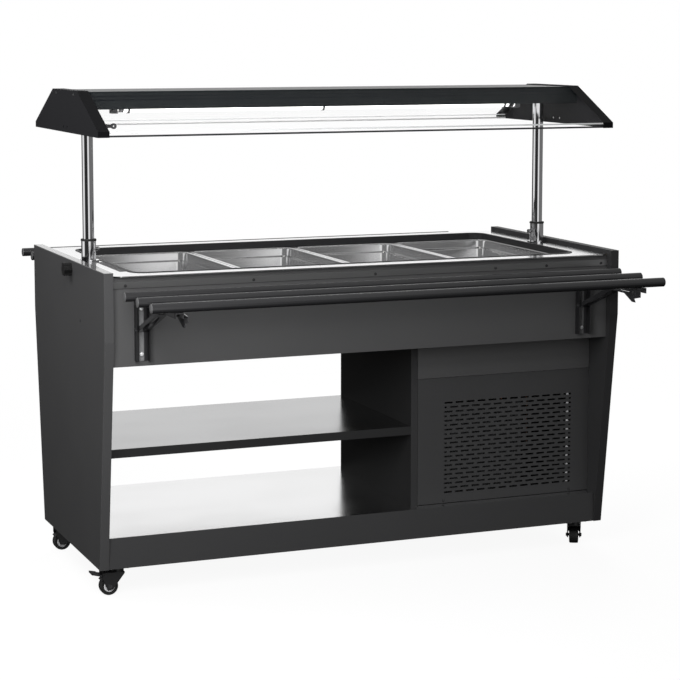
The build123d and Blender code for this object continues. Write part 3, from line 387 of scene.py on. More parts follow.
charcoal_coat = coated("charcoal_coat", (0.053, 0.053, 0.054), (0.071, 0.071, 0.072), 0.36)
dress(charcoal_coat, "front_apron", "rear_apron")
trim = Finish("trim_metal")
draw_line = trim.noise(0.0012, (0.01, 1.0, 1.0), 2.0)
trim_colour = trim.tint(draw_line, (0.27, 0.27, 0.273), (0.34, 0.34, 0.343))
trim_metal = trim.done({"Base Color": trim_colour, "Metallic": 0.9, "Roughness": 0.26 + 0.08 * draw_line},
                       draw_line, depth=0.00001)
dress(trim_metal, "trim_strips")


def fastener_tree():
    """Nodes that set one head on every point, turned to its facing and spun at random."""
    tree = bpy.data.node_groups.new("fasteners", "GeometryNodeTree")
    inputs = (("Places", "Geometry"), ("Head", "Object"), ("Size", "Float"), ("Spin", "Float"),
              ("Finish", "Material"), ("Seed", "Int"))
    for label, kind in inputs:
        tree.interface.new_socket(label, in_out="INPUT", socket_type="NodeSocket" + kind)
    tree.interface.new_socket("Fasteners", in_out="OUTPUT", socket_type="NodeSocketGeometry")
    net = Net(tree)

    def given(label):
        return net.node("NodeGroupInput", out=label)

    outward = net.node("GeometryNodeInputNamedAttribute", {"data_type": "FLOAT_VECTOR"},
                       {"Name": "facing"}, "Attribute")
    upright = net.node("FunctionNodeAlignRotationToVector", {"axis": "Z"}, {"Vector": outward})
    angle = net.node("FunctionNodeRandomValue", {"data_type": "FLOAT"},
                     {2: 0.0, 3: given("Spin"), "Seed": given("Seed")}, 1)
    about = net.node("FunctionNodeEulerToRotation", None,
                     {0: net.node("ShaderNodeCombineXYZ", None, {"Z": angle})})
    turn = net.node("FunctionNodeRotateRotation", {"rotation_space": "LOCAL"},
                    {"Rotation": upright, "Rotate By": about})
    head = net.node("GeometryNodeObjectInfo", None,
                    {"Object": given("Head"), "As Instance": True}, "Geometry")
    set_on = net.node("GeometryNodeInstanceOnPoints", None,
                      {"Points": given("Places"), "Instance": head, "Rotation": turn, "Scale": given("Size")})
    whole = net.node("GeometryNodeRealizeInstances", None, {"Geometry": set_on})
    shown = net.node("GeometryNodeSetMaterial", None, {"Geometry": whole, "Material": given("Finish")})
    net.node("NodeGroupOutput", None, {0: shown})
    return tree


def head_object(name, form):
    bmesh.ops.recalc_face_normals(form, faces=form.faces)
    return bpy.data.objects.new(name, mesh_of(name, form))


def cross_head():
    """A pan head of radius one with a four-armed recess."""
    form = bmesh.new()
    steps = 16
    star = [0.46, 0.30, 0.15, 0.30]

    def ring(radii, rise):
        spots = []
        for k in range(steps):
            angle = 2 * math.pi * k / steps
            radius = radii[k % len(radii)]
            spots.append(form.verts.new((radius * math.cos(angle), radius * math.sin(angle), rise)))
        return spots

    rings = [ring([1.0], -0.15), ring([1.0], 0.22), ring([0.86], 0.46), ring([0.58], 0.58),
             ring(star, 0.60), ring([r * 0.8 for r in star], 0.30)]
    form.faces.new(list(reversed(rings[0])))
    for low, high in zip(rings, rings[1:]):
        skin(form, low, high)
    form.faces.new(rings[-1])
    return head_object("cross_head", form)


def settle(made, crease):
    """Turn an object's modifiers into its plain mesh."""
    mesh = bpy.data.meshes.new_from_object(made.evaluated_get(bpy.context.evaluated_depsgraph_get()))
    made.modifiers.clear()
    made.data = mesh
    smoothed(mesh, crease)


def fasteners(name, spots, head, size, finish, body, seed=1, spin=math.pi):
    """Heads of one size set on (place, facing) pairs, as one plain mesh on a body."""
    mesh = bpy.data.meshes.new(name)
    mesh.from_pydata([place for place, _ in spots], [], [])
    facings = mesh.attributes.new("facing", "FLOAT_VECTOR", "POINT")
    for k, (_, way) in enumerate(spots):
        facings.data[k].vector = way
    made = placed(name, mesh)
    scene.collection.objects.link(head)
    form = made.modifiers.new("fasteners", "NODES")
    form.node_group = fasteners_tree
    given = {"Head": head, "Size": size, "Spin": spin, "Finish": finish, "Seed": seed}
    for item in fasteners_tree.interface.items_tree:
        if item.name in given:
            form[item.identifier] = given[item.name]
    settle(made, crease=30)
    scene.collection.objects.unlink(head)
    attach(made, body)


def plated(name, low, high, metallic, smoothest, roughening, mark_size, detail=3.0):
    """Plated or bare metal whose colour and gloss vary in small marks."""
    made = Finish(name)
    marks = made.noise(mark_size, detail=detail)
    colour = made.tint(marks, low, high)
    roughness = smoothest + roughening * marks
    return made.done({"Base Color": colour, "Metallic": metallic, "Roughness": roughness})


fasteners_tree = fastener_tree()
screw_head = cross_head()
screw_zinc = plated("screw_zinc", (0.62, 0.62, 0.63), (0.84, 0.84, 0.85), 0.3, 0.24, 0.16, 0.0006, 2.0)
screw_black = coated("screw_black", (0.016, 0.016, 0.017), (0.030, 0.030, 0.031), 0.34, 0.001)
trim_screw = 0.0042
trim_low, trim_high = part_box("trim_strips")
trim_x = (-0.697, -0.342, 0.011, 0.377, 0.538, 0.713)
trim_z = trim_low.z + 0.4 * (trim_high.z - trim_low.z)
trim_spots = [((x, y, trim_z), (0, way, 0))
              for y, way in ((trim_low.y, -1), (trim_high.y, 1)) for x in trim_x]
fasteners("trim_screws", trim_spots, screw_head, trim_screw, screw_black, "cabinet", seed=3)


# Machine bay: folded trays close the right-hand end, a blank cover above a cover punched with rows of
# staggered slots in front, and one with pressed louvres behind. All are powder coated and held by small
# screws. A zinc-plated angle stiffens the slotted cover from behind; its pale face behind the slots is also
# painted light, standing for light seen through them.
# The slotted and rear covers take a darker copy of the casing's charcoal coat: painted shade low in the bay.
shaded_cover_coat = coated("shaded_cover_coat", (0.029, 0.029, 0.030), (0.042, 0.042, 0.043), 0.42)
# The bay wall's front edge and its other faces take a lighter and a darker copy of the coat: a painted lit
# front edge and painted shade inside the bay.
bay = Finish("bay_coat")
bay_peel = bay.noise(0.0028, detail=2.0)
painted_lit_front = bay.eased(bay.facing("Y"), -0.6, -0.8)
bay_lit_and_shaded_colour = bay.blend(painted_lit_front, bay.tint(bay_peel, (0.011, 0.011, 0.0115), (0.020, 0.020, 0.0205)),
                       bay.tint(bay_peel, (0.030, 0.030, 0.031), (0.042, 0.042, 0.043)))
bay_rough = 0.46 + 0.10 * bay_peel
bay_coat = bay.done({"Base Color": bay_lit_and_shaded_colour, "Roughness": bay_rough, "Specular IOR Level": 0.1},
                    bay_peel, depth=0.00003)
dress(shaded_cover_coat, "machine_rear_panel", "machine_grille")
dress(charcoal_coat, "machine_front_panel")
dress(bay_coat, "machine_bay_wall")
grille_low, grille_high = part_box("machine_grille")
rear_low, rear_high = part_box("machine_rear_panel")
bay_screw = 0.0036
grille_screw_x, grille_screw_lift = (0.267, 0.673), 0.007
rear_inset = 0.012
rear_screw_x = (rear_low.x + rear_inset, rear_high.x - rear_inset)
rear_screw_z = (rear_low.z + rear_inset, (rear_low.z + rear_high.z) / 2, rear_high.z - rear_inset)
bay_spots = [((x, grille_low.y, grille_low.z + grille_screw_lift), (0, -1, 0)) for x in grille_screw_x]
bay_spots += [((x, rear_high.y, z), (0, 1, 0)) for x in rear_screw_x for z in rear_screw_z]
fasteners("bay_screws", bay_spots, screw_head, bay_screw, screw_black, "cabinet", seed=5)


def louvre_hood(half_length, above, below, out, gauge, sunk):
    """A pressed scoop over one slot: length along X, its open lip towards +Y, standing out along Z."""
    form = bmesh.new()
    bow_steps = 6
    bow = [(k / bow_steps, math.sin(math.pi / 2 * k / bow_steps)) for k in range(bow_steps + 1)]
    right_end = [(0.92, 1.0), (0.96, 0.8), (0.985, 0.45), (1.0, 0.04)]
    left_end = [(-share, swell) for share, swell in reversed(right_end)]
    loops = []
    for share, swell in left_end + right_end:
        outer = [(-above + (above + below) * t, out * swell * rise) for t, rise in bow]
        inner = [(y, max(z - gauge, 0.0) - sunk) for y, z in reversed(outer)]
        loops.append([form.verts.new((share * half_length, y, z)) for y, z in outer + inner])
    for low, high in zip(loops, loops[1:]):
        skin(form, low, high)
    form.faces.new(loops[0])
    form.faces.new(loops[-1])
    return head_object("louvre_hood", form)


louvre_x, louvre_rows = (0.350, 0.550), 12
louvre_first_z, louvre_pitch = 0.205, 0.022
louvre_spots = [((x, rear_high.y, louvre_first_z + louvre_pitch * k), (0, 1, 0))
                for x in louvre_x for k in range(louvre_rows)]
hood = louvre_hood(half_length=0.079, above=0.006, below=0.003, out=0.006, gauge=0.001, sunk=0.0004)
fasteners("rear_louvres", louvre_spots, hood, 1.0, shaded_cover_coat, "cabinet", spin=0.0)
angle_near, angle_far = 0.6625, 0.6695
angle_gauge, angle_flange, angle_bend = 0.0008, 0.0080, 0.0014
angle_back = grille_low.y + 0.0016
angle_margin = 0.03
angle_outline = [(angle_near, 0.0), (angle_far, 0.0), (angle_far, angle_flange),
                 (angle_far - angle_gauge, angle_flange), (angle_far - angle_gauge, angle_bend),
                 (angle_far - angle_bend, angle_gauge), (angle_near, angle_gauge)]
stiffener_form = bmesh.new()
stiffener_ends = [[stiffener_form.verts.new((x, angle_back + y, z)) for x, y in angle_outline]
                  for z in (grille_low.z + angle_margin, grille_high.z - angle_margin)]
skin(stiffener_form, *stiffener_ends)
for end in stiffener_ends:
    stiffener_form.faces.new(end)
# The angle's pale colour is partly zinc plating and partly painted light seen through the slots.
pale_stiffener = coated("pale_stiffener", (0.42, 0.42, 0.43), (0.56, 0.56, 0.57), 0.30, 0.004, 0.00001)
piece("grille_stiffener", stiffener_form, pale_stiffener, "cabinet")


# Cooling unit inside the bay: a black welded compressor, a finned coil with its shroud and motor,
# a moulded fan, copper pipes brazed between them, and the plastic drain of the tank.
compressor_paint = coated("compressor_paint", (0.012, 0.012, 0.013), (0.022, 0.022, 0.023), 0.30, 0.004)
dress(compressor_paint, "compressor")
fin_half_pitch = 0.0011
coil = Finish("coil_fins")
fin_place = coil.split(coil.place, "X")
fin_edge = coil.node("ShaderNodeMath", {"operation": "PINGPONG"}, {0: fin_place, 1: fin_half_pitch})
fin_line = coil.eased(fin_edge, 0.0002, 0.0009)
fin_colour = coil.tint(fin_line * coil.noise(0.05), (0.05, 0.05, 0.052), (0.20, 0.20, 0.205))
coil_fins = coil.done({"Base Color": fin_colour, "Metallic": 0.8, "Roughness": 0.35 + 0.2 * fin_line},
                      fin_line, depth=0.0004)
dress(coil_fins, "condenser")
pipe_copper = plated("pipe_copper", (0.24, 0.10, 0.06), (0.44, 0.21, 0.13), 1.0, 0.22, 0.25, 0.03)
dress(pipe_copper, "refrigerant_pipes")
grey_moulding = moulded("grey_moulding", (0.20, 0.20, 0.205), (0.27, 0.27, 0.275), 0.42)
dress(grey_moulding, "drain_pipe")
dress(black_moulding, "fan_blades")


# Controls in the rear cover: a snap-in digital thermostat with a dark window and four keys, and two
# rocker switches. All are plain moulded plastic without lettering.
def key_block(form, centre, size, edge):
    made = bmesh.ops.create_cube(form, size=1.0)["verts"]
    for vert in made:
        vert.co = Vector(centre) + Vector([s * v for s, v in zip(size, vert.co)])
    edges = list({line for vert in made for line in vert.link_edges})
    bmesh.ops.bevel(form, geom=edges, offset=edge, segments=3, profile=0.5, affect="EDGES")


dress(black_moulding, "control_panel")
rocker_black = moulded("rocker_black", (0.014, 0.014, 0.015), (0.022, 0.022, 0.023), 0.22)
dress(rocker_black, "power_switch", "lamp_switch")
panel_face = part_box("control_panel")[1].y
controller_x, control_z = 0.370, 0.600
window_at = (controller_x + 0.011, panel_face, control_z + 0.003)
window_size, window_edge = (0.044, 0.0024, 0.019), 0.0011
window_form = bmesh.new()
key_block(window_form, window_at, window_size, window_edge)
window_gloss = coated("window_gloss", (0.010, 0.003, 0.003), (0.016, 0.005, 0.005), 0.04, 0.02, 0.0)
piece("display_window", window_form, window_gloss, "cabinet")
key_size, key_edge = (0.0095, 0.0030, 0.0075), 0.0012
key_first_x, key_pitch = controller_x - 0.0185, 0.0125
key_form = bmesh.new()
for key_lift in (0.0065, -0.0055):
    for column in (0, 1):
        key_at = (key_first_x - key_pitch * column, panel_face, control_z + key_lift)
        key_block(key_form, key_at, key_size, key_edge)
piece("display_keys", key_form, grey_moulding, "cabinet")


# Tank: pressed steel liner in a block of foam, closed at the top by a steel sheet with a rounded opening.
# A black plastic breaker strip joins the two, and three steel bars carry the pan rims. Small moulded frames
# line the row of vent slots beside the left-hand pan.
foam = Finish("tank_foam")
cells = foam.noise(0.004)
foam_colour = foam.tint(cells, (0.50, 0.42, 0.24), (0.66, 0.58, 0.38))
tank_foam = foam.done({"Base Color": foam_colour, "Roughness": 0.8 + 0.15 * cells}, cells, depth=0.0006)
dress(tank_foam, "tank_insulation")


def brushed(name, stretch, low, high):
    line_depth = 0.00001
    made = Finish(name)
    lines, colour, roughness = satin_fields(made, stretch, low, high)
    return made.done({"Base Color": colour, "Metallic": 1.0, "Roughness": roughness}, lines, line_depth)


top_steel = brushed("top_steel", along_x, (0.78, 0.78, 0.785), (0.88, 0.88, 0.885))
liner_steel = brushed("liner_steel", along_x, (0.50, 0.50, 0.505), (0.64, 0.64, 0.645))
dress(top_steel, "counter_top")
dress(liner_steel, "tank_liner", "pan_bars")
dress(black_moulding, "breaker_strip")


def rounded_ring(form, centre, half_x, half_y, corner, rise, steps=6):
    ring = []
    for quadrant, (sx, sy) in enumerate(((1, 1), (-1, 1), (-1, -1), (1, -1))):
        for k in range(steps + 1):
            angle = math.pi / 2 * (quadrant + k / steps)
            x = centre[0] + sx * (half_x - corner) + corner * math.cos(angle)
            y = centre[1] + sy * (half_y - corner) + corner * math.sin(angle)
            ring.append(form.verts.new((x, y, rise)))
    return ring


def vent_frame():
    """A moulded frame round one vent slot: length along X, standing on the sheet."""
    form = bmesh.new()
    foot, lip = (0.01065, 0.0042, 0.0016), (0.0102, 0.0038, 0.0014)
    brink, mouth = (0.0094, 0.0022, 0.0010), (0.0091, 0.0019, 0.0009)
    levels = [(*foot, -0.0001), (*foot, 0.0004), (*lip, 0.0008), (*brink, 0.0008), (*mouth, 0.0005),
              (*mouth, -0.0012)]
    rings = [rounded_ring(form, (0.0, 0.0), *level, steps=3) for level in levels]
    for low, high in zip(rings, rings[1:] + rings[:1]):
        skin(form, low, high)
    return head_object("vent_frame", form)


vent_x, vent_first_y, vent_pitch, vent_count = -0.67385, -0.265, 0.010, 23
sheet_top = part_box("counter_top")[1].z
vent_spots = [((vent_x, vent_first_y + vent_pitch * k, sheet_top), (0, 0, 1)) for k in range(vent_count)]
vent_grey = moulded("vent_grey", (0.05, 0.05, 0.051), (0.08, 0.08, 0.082), 0.4)
fasteners("vent_frames", vent_spots, vent_frame(), 1.0, vent_grey, "cabinet", spin=0.0)


# Pans: four deep-drawn full-size steel pans side by side. Each has a flat rim, a rolled shoulder,
# a stacking step below it, gently leaning walls and a floor with a broad round edge.
pan_gauge = 0.0009
pan_rim = 0.013
rim_corner, floor_corner, corner_loss = 0.034, 0.012, 0.6
pan_steel = brushed("pan_steel", along_x, (0.66, 0.66, 0.665), (0.80, 0.80, 0.805))
rim_edge = [(0.0, -0.0002), (0.0006, 0.0)]
inside_rim = [(-0.0035, 0.0), (-0.0018, -0.0005), (-0.0005, -0.0018), (0.0, -0.004), (0.0008, -0.022),
              (0.0014, -0.0245), (0.0032, -0.0265), (0.0038, -0.029), (0.006, -0.076), (0.0078, -0.084),
              (0.012, -0.0905), (0.018, -0.0945), (0.026, -0.096), (0.09, -0.0955)]
pan_profile = rim_edge + [(pan_rim + inset, drop) for inset, drop in inside_rim]
for number in (1, 2, 3, 4):
    node = f"pan_{number}"
    low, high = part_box(node)
    middle = (low + high) / 2
    half = (high - low) / 2
    form = bmesh.new()
    rings = []
    for inset, drop in pan_profile:
        corner = max(rim_corner - corner_loss * inset, floor_corner)
        rings.append(rounded_ring(form, middle, half.x - inset, half.y - inset, corner, high.z + drop))
    for outer, inner in zip(rings, rings[1:]):
        skin(form, outer, inner)
    form.faces.new(rings[-1])
    bmesh.ops.recalc_face_normals(form, faces=form.faces)
    if form.faces[-1].normal.z < 0:
        bmesh.ops.reverse_faces(form, faces=form.faces)
    pan = placed("drawn_" + node, mesh_of("drawn_" + node, form))
    wall = pan.modifiers.new("wall", "SOLIDIFY")
    wall.thickness = pan_gauge
    wall.offset = -1.0
    pan.data.materials.append(pan_steel)
    settle(pan, crease=40)
    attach(pan, node + "_body")
    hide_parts(node)


# Posts and sockets: chromed steel tubes that slide in chromed sleeves. A dark rubber ring closes the gap
# on top of each sleeve, a knurled thumb screw pinches the tube, three screws hold each flange, and a black
# knob clamps each post from outside.
post_chrome = plated("post_chrome", (0.72, 0.72, 0.735), (0.80, 0.80, 0.81), 1.0, 0.04, 0.05, 0.05)
dress(post_chrome, "canopy_posts", "post_sockets")
ring_rubber = moulded("ring_rubber", (0.010, 0.010, 0.010), (0.018, 0.018, 0.018), 0.55)
socket_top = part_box("post_sockets")[1].z
post_x = 0.697
collar = [(0.0165, 0.0002), (0.0206, 0.0002), (0.0209, -0.003), (0.0218, -0.003), (0.0218, 0.0012),
          (0.0208, 0.0026), (0.0172, 0.0030), (0.0164, 0.0022), (0.0165, 0.0002)]
collar_form = bmesh.new()
for side in (-1, 1):
    turned(collar_form, collar, (side * post_x, 0.0, socket_top), (0, 0, 1), steps=40)
piece("socket_rings", collar_form, ring_rubber, "cabinet")
flange_thick, flange_screw, flange_reach = 0.004, 0.0032, 0.0248
flange_top = sheet_top + flange_thick
flange_angles = [math.radians(a) for a in (30, 150, 270)]
flange_spots = [((side * post_x + flange_reach * math.cos(a), flange_reach * math.sin(a), flange_top),
                 (0, 0, 1)) for side in (-1, 1) for a in flange_angles]
fasteners("socket_screws", flange_spots, screw_head, flange_screw, screw_zinc, "cabinet", seed=4)
screw_chrome = plated("screw_chrome", (0.40, 0.40, 0.41), (0.62, 0.62, 0.63), 1.0, 0.15, 0.2, 0.002)
dress(screw_chrome, "left_thumb_screw", "right_thumb_screw")
knob_black = moulded("knob_black", (0.004, 0.004, 0.004), (0.009, 0.009, 0.009), 0.42)
dress(knob_black, "left_clamp_knob", "right_clamp_knob")


# Canopy: two folded end plates and a wide grooved roof channel, powder coated near-black, with a clear
# acrylic pane on each slope. A thin rod runs along each lower edge, the front one blacked and the rear one
# painted pale as a painted highlight of the lamp's glare, and a white lamp with metal caps hangs under the
# roof.
plate = Finish("plate_coat")
plate_peel = plate.noise(0.0028, detail=2.0)
plate_side = plate.facing("X")
is_side = plate.eased(plate_side * plate_side, 0.4, 0.7)
side_cloud = 0.6 * plate.noise(0.2) + 0.4 * plate_peel
side_colour = plate.tint(side_cloud, (0.010, 0.010, 0.011), (0.014, 0.014, 0.0155))
# Every face of the end plates other than the two sides, mainly the front flanges, is painted near-black:
# painted shade.
plate_colour_painted_shade = plate.blend(is_side, (0.003, 0.003, 0.0035, 1.0), side_colour)
plate_rough = 0.42 + 0.10 * plate_peel
plate_coat = plate.done({"Base Color": plate_colour_painted_shade, "Roughness": plate_rough, "Specular IOR Level": 0.1},
                        plate_peel, depth=0.00003)
dress(plate_coat, "canopy_end_plates")
groove_high, groove_low, groove_half = 1.335, 1.325, 0.0016
roof = Finish("roof_coat")
roof_peel = roof.noise(0.004, detail=2.0)
roof_height = roof.split(roof.place, "Z")


def groove_shade_band(z):
    return roof.node("ShaderNodeMath", {"operation": "COMPARE"}, {0: roof_height, 1: z, 2: groove_half})


# The two groove floors are painted near-black: painted shade in the recesses.
groove_shade = groove_shade_band(groove_high) + groove_shade_band(groove_low)
roof_face = roof.tint(roof_peel, (0.007, 0.009, 0.010), (0.012, 0.014, 0.015))
roof_colour = roof.blend(0.9 * groove_shade, roof_face, (0.001, 0.002, 0.004, 1.0))
roof_rough = 0.26 + 0.12 * roof_peel
roof_coat = roof.done({"Base Color": roof_colour, "Roughness": roof_rough, "Specular IOR Level": 0.14},
                      roof_peel, depth=0.00001)
dress(roof_coat, "canopy_profile")
pane_clear_z, lit_rim_z = 1.30, 1.28
pane = Finish("clear_pane")
wiped = pane.noise(0.12, (1.0, 0.3, 0.3))
pane_way = pane.facing("Y")
pane_edge = pane.eased(pane_way * pane_way, 0.4, 0.7)
lit_lower_edge = pane_edge * pane.eased(pane.split(pane.place, "Z"), pane_clear_z, lit_rim_z)
pane_sheet = pane.node("ShaderNodeBsdfPrincipled", None,
                       {"Base Color": white, "Roughness": 0.01 + 0.01 * wiped, "IOR": 1.06,
                        "Transmission Weight": 1.0, "Alpha": 1 - 0.98 * pane_edge})
# The lower edges of the panes are painted a pale white rim, a painted highlight of the lit acrylic edge; the
# other edges are made see-through.
lit_rim_colour = pane.tint(wiped, (0.80, 0.82, 0.82), (0.90, 0.91, 0.91))
pane_lit_rim = pane.node("ShaderNodeBsdfPrincipled", None,
                     {"Base Color": lit_rim_colour, "Roughness": 0.3 + 0.2 * wiped})
pane_whole = pane.node("ShaderNodeMixShader", None, {0: lit_lower_edge, 1: pane_sheet, 2: pane_lit_rim})
dress(pane.shown(pane_whole), "guard_panes")
nodes["guard_panes"].visible_shadow = False
lamp_tube = Finish("lamp_glow")
tube_colour = lamp_tube.tint(lamp_tube.noise(0.08), (0.90, 0.89, 0.86), (1.0, 0.99, 0.97))
lamp_glow = lamp_tube.done({"Base Color": tube_colour, "Roughness": 0.25, "Emission Color": tube_colour,
                            "Emission Strength": 3.0})
dress(lamp_glow, "lamp_tube")
tube_low, tube_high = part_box("lamp_tube")
tube_middle = (tube_low + tube_high) / 2
cap_profile = [(0.0129, -0.019), (0.0131, -0.0185), (0.01315, -0.0165), (0.0131, -0.0150), (0.01315, -0.0030),
               (0.0128, -0.0008), (0.0116, 0.0001), (0, 0.0001)]
cap_form = bmesh.new()
for side, end in ((-1, tube_low.x), (1, tube_high.x)):
    turned(cap_form, cap_profile, (end, tube_middle.y, tube_middle.z), (side, 0, 0), steps=28)
cap_metal = brushed("cap_metal", (1.0, 1.0, 1.0), (0.55, 0.55, 0.56), (0.68, 0.68, 0.69))
piece("lamp_caps", cap_form, cap_metal, "canopy")
dress(grey_moulding, "lamp_holders")
rod = Finish("rod_steel")
rod_draw = rod.noise(0.001, (0.02, 1.0, 1.0), 2.0)
# The rear rod is painted pale: a painted highlight of the lamp's glare on it; the front rod is blacked.
rear_rod_painted_light = rod.eased(rod.split(rod.place, "Y"), -0.05, 0.05)
rod_colour = rod.blend(rear_rod_painted_light, rod.tint(rod_draw, (0.012, 0.012, 0.013), (0.024, 0.024, 0.026)),
                       rod.tint(rod_draw, (0.86, 0.86, 0.86), (0.94, 0.94, 0.94)))
dress(rod.done({"Base Color": rod_colour, "Roughness": 0.24 + 0.1 * rod_draw}), "guard_fittings")
plate_low, plate_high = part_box("canopy_end_plates")
roof_screw, roof_screw_y, roof_screw_z = 0.0040, (0.092, -0.098), 1.341
roof_spots = [((x, y, roof_screw_z), (way, 0, 0))
              for x, way in ((plate_low.x, -1), (plate_high.x, 1)) for y in roof_screw_y]
fasteners("canopy_screws", roof_spots, screw_head, roof_screw, screw_black, "canopy", seed=7)


# Tray slides: on each long side three black enamelled steel tubes with domed plugs, on a pair of hinged arms.
# Struts that fold with the arms hold them level, and fishtail levers release them. Zinc-plated wall channels
# screwed on the aprons carry it all.
slides = ("front", "rear")
rail = Finish("rail_enamel")
rail_cloud = rail.noise(0.12, (0.2, 1.0, 1.0))
rail_colour = rail.tint(rail_cloud, (0.013, 0.013, 0.014), (0.020, 0.020, 0.021))
rail_rough = 0.06 + 0.03 * rail_cloud
rail_enamel = rail.done({"Base Color": rail_colour, "Roughness": rail_rough, "Specular IOR Level": 0.6,
                         "Coat Weight": 0.4, "Coat Roughness": 0.05})
for word in slides:
    dress(rail_enamel, f"{word}_tray_slide", f"{word}_slide_struts")
    dress(rail_enamel, f"{word}_left_lever", f"{word}_right_lever")
bracket_x, bracket_half = 0.654, 0.019
web_half, web_fade = 0.0075, 0.005
# The forward-facing webs of the wall channels are painted lighter than their walls: a painted reflection of
# the bright surround on the webs and painted shade on the walls.
bracket = Finish("bracket_zinc")
spangle = bracket.noise(0.004)
web_way = bracket.facing("Y")
web_place = bracket.split(bracket.place, "X")
web_off = bracket.node("ShaderNodeMath", {"operation": "PINGPONG"}, {0: web_place, 1: bracket_x})
painted_lit_web = bracket.eased(web_way * web_way, 0.5, 0.8)
painted_lit_web = painted_lit_web * bracket.eased(web_off, bracket_x - web_half, bracket_x - web_fade)
lit_web_colour = bracket.tint(spangle, (0.11, 0.11, 0.113), (0.18, 0.18, 0.184))
bracket_lit_and_shaded_colour = bracket.blend(painted_lit_web, (0.012, 0.012, 0.013, 1.0), lit_web_colour)
bracket_zinc = bracket.done({"Base Color": bracket_lit_and_shaded_colour, "Roughness": 0.30 + 0.15 * spangle},
                            spangle, depth=0.00001)
dress(bracket_zinc, "bracket_plates")
wall_out = {-1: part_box("front_apron")[0].y, 1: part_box("rear_apron")[1].y}
channel_gauge, wall_screw, wall_screw_z = 0.0025, 0.0052, (0.789, 0.668)
wall_spots = [((x, wall_out[side] + side * channel_gauge, z), (0, side, 0))
              for side in (-1, 1) for x in (-bracket_x, bracket_x) for z in wall_screw_z]
fasteners("bracket_screws", wall_spots, screw_head, wall_screw, screw_zinc, "cabinet", seed=9)


def rivet_head():
    """A round head of radius one."""
    form = bmesh.new()
    dome = [(0, -0.1), (1, -0.1), (1, 0.06), (0.92, 0.26), (0.7, 0.43), (0.4, 0.53), (0, 0.56)]
    turned(form, dome, (0, 0, 0), (0, 0, 1), steps=20)
    return head_object("rivet_head", form)


rivet = rivet_head()
hinge_rivet, lever_rivet = 0.0062, 0.0050
hinge_z = joints["front_fold"]["pos_m"][2]
strut_z = joints["front_strut_fold"]["pos_m"][2]
hinge_y = joints["front_fold"]["pos_m"][1]
pin_spots = [((x + way * bracket_half, side * abs(hinge_y), z), (way, 0, 0))
             for side in (-1, 1) for x in (-bracket_x, bracket_x) for way in (-1, 1)
             for z in (hinge_z, strut_z)]
fasteners("bracket_rivets", pin_spots, rivet, hinge_rivet, screw_black, "cabinet", seed=11)
lever_face = 0.0182
rail_z, rail_out = 0.833, (0.091, 0.207, 0.328)
plug_grey = moulded("plug_grey", (0.06, 0.06, 0.061), (0.10, 0.10, 0.102), 0.36)
plug_dome = [(0.0123, -0.0004), (0.0125, 0.0004), (0.0118, 0.0014), (0.0090, 0.0022), (0.0045, 0.0026),
             (0, 0.0027)]
for side, word in zip((-1, 1), slides):
    release = joints[f"{word}_left_release"]["pos_m"]
    lever_spots = [((-way * (bracket_x - lever_face), release[1], release[2]), (way, 0, 0))
                   for way in (-1, 1)]
    fasteners(f"{word}_lever_rivets", lever_spots, rivet, lever_rivet, screw_black, f"{word}_slide",
              seed=13)
    rail_low, rail_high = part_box(f"{word}_tray_slide")
    dome_form = bmesh.new()
    for way, tip in ((-1, rail_low.x), (1, rail_high.x)):
        for out in rail_out:
            turned(dome_form, plug_dome, (tip, wall_out[side] + side * out, rail_z), (way, 0, 0), steps=28)
    piece(f"{word}_rail_plugs", dome_form, plug_grey, f"{word}_slide")


# Casters: pressed and blacked plates, forks and wheel hoods under the corners, bolted on, with black rubber
# tyres on pale ringed hubs, a bolt through each, and a moulded brake pedal on the two front ones.
fork_black = coated("fork_black", (0.004, 0.004, 0.0045), (0.009, 0.009, 0.0095), 0.36, 0.002, 0.00002)
corners = ("front_left", "front_right", "rear_left", "rear_right")
dress(fork_black, "caster_plates", *[c + "_fork" for c in corners])
dress(black_moulding, "front_left_pedal", "front_right_pedal")
tyre_rubber = moulded("tyre_rubber", (0.008, 0.008, 0.008), (0.016, 0.016, 0.016), 0.5)
hub_pale = moulded("hub_pale", (0.55, 0.55, 0.56), (0.68, 0.68, 0.69), 0.3)
tyre_half = [(0.0154, 0.0), (0.0154, 0.0112), (0.0162, 0.0118), (0.0196, 0.0119), (0.0206, 0.0127),
             (0.0220, 0.0130), (0.0234, 0.0126), (0.0244, 0.0112), (0.0249, 0.0085), (0.0250, 0.0045),
             (0.0250, 0.0)]
hub_half = [(0.0044, 0.0), (0.0044, 0.0122), (0.0068, 0.0124), (0.0078, 0.0100), (0.0118, 0.0100),
            (0.0122, 0.0130), (0.0130, 0.0136), (0.0146, 0.0136), (0.0153, 0.0128), (0.0153, 0.0)]


def both_sides(half):
    return half + [(radius, -out) for radius, out in reversed(half[:-1])]


def bolt_head():
    """A six-sided head of radius one on a thin washer."""
    form = bmesh.new()
    washer = [(0, -0.08), (1.3, -0.08), (1.3, 0.10), (1.22, 0.16), (0, 0.16)]
    sides = 6
    corner_angles = [2 * math.pi * k / sides for k in range(sides)]
    turned(form, washer, (0, 0, 0), (0, 0, 1), steps=18)
    rings = []
    for radius, rise in ((1.0, 0.14), (1.0, 0.62), (0.88, 0.72)):
        rings.append([form.verts.new((radius * math.cos(a), radius * math.sin(a), rise))
                      for a in corner_angles])
    for low, high in zip(rings, rings[1:]):
        skin(form, low, high)
    form.faces.new(list(reversed(rings[0])))
    form.faces.new(rings[-1])
    return head_object("bolt_head", form)


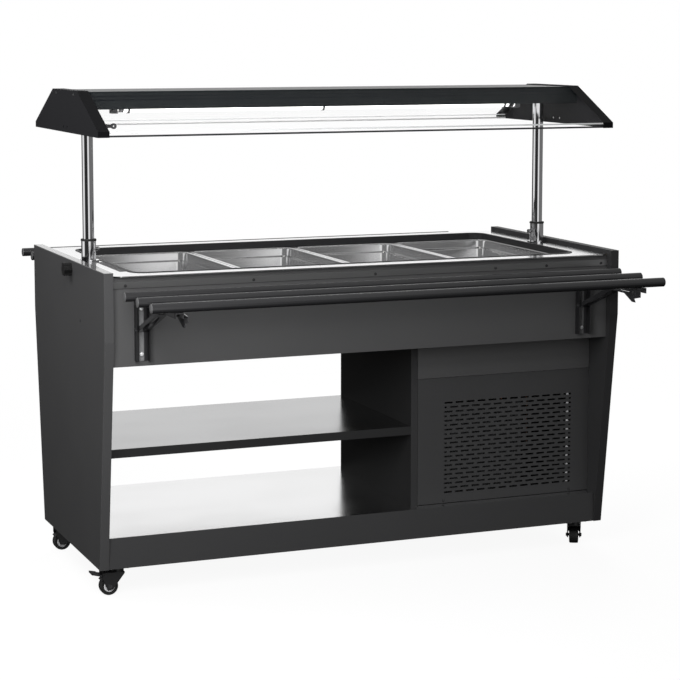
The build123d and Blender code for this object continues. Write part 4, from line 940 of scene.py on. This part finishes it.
def wheel_hood(form, centre, axis, inner, outer, half_width, lowest):
    """A curved guard over the upper part of a wheel, between the cheeks of its fork."""
    up = Vector((0.0, 0.0, 1.0))
    along = up.cross(axis)
    section = ((inner, -1), (outer, -1), (outer, 1), (inner, 1))
    steps = 24
    loops = []
    for k in range(steps + 1):
        angle = math.radians(lowest + (180 - 2 * lowest) * k / steps)
        way = math.cos(angle) * along + math.sin(angle) * up
        loops.append([form.verts.new(centre + radius * way + side * half_width * axis)
                      for radius, side in section])
    for low, high in zip(loops, loops[1:]):
        skin(form, low, high)
    form.faces.new(loops[0])
    form.faces.new(loops[-1])


bolt = bolt_head()
cheek_in, cheek_out = 0.0165, 0.0195
hood_in, hood_out, hood_seat, hood_lowest = 0.0270, 0.0285, 0.0002, 36
axle_bolt, plate_bolt = 0.0052, 0.0045
for corner in corners:
    axis = Vector(joints[corner + "_roll"]["axis"])
    centre = Vector(joints[corner + "_roll"]["pos_m"])
    tyre_form = bmesh.new()
    turned(tyre_form, both_sides(tyre_half), centre, axis, steps=48)
    piece(corner + "_tyre", tyre_form, tyre_rubber, corner + "_roller", [corner + "_wheel"])
    hub_form = bmesh.new()
    turned(hub_form, both_sides(hub_half), centre, axis, steps=40)
    piece(corner + "_hub", hub_form, hub_pale, corner + "_roller")
    hood_form = bmesh.new()
    wheel_hood(hood_form, centre, axis, hood_in, hood_out, cheek_in + hood_seat, hood_lowest)
    piece(corner + "_hood", hood_form, fork_black, corner + "_swivel")
    bolt_spots = [(centre + way * cheek_out * axis, way * axis) for way in (-1, 1)]
    fasteners(corner + "_axle_bolt", bolt_spots, bolt, axle_bolt, screw_black, corner + "_swivel",
              seed=15)
plate_gauge = 0.003
plate_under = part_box("caster_plates")[1].z - plate_gauge
caster_x, caster_y, bolt_reach = 0.698, 0.257, 0.0235
plate_spots = [((sx * caster_x + dx * bolt_reach, sy * caster_y + dy * bolt_reach, plate_under), (0, 0, -1))
               for sx in (-1, 1) for sy in (-1, 1) for dx in (-1, 1) for dy in (-1, 1)]
fasteners("caster_bolts", plate_spots, bolt, plate_bolt, screw_zinc, "cabinet", seed=17)
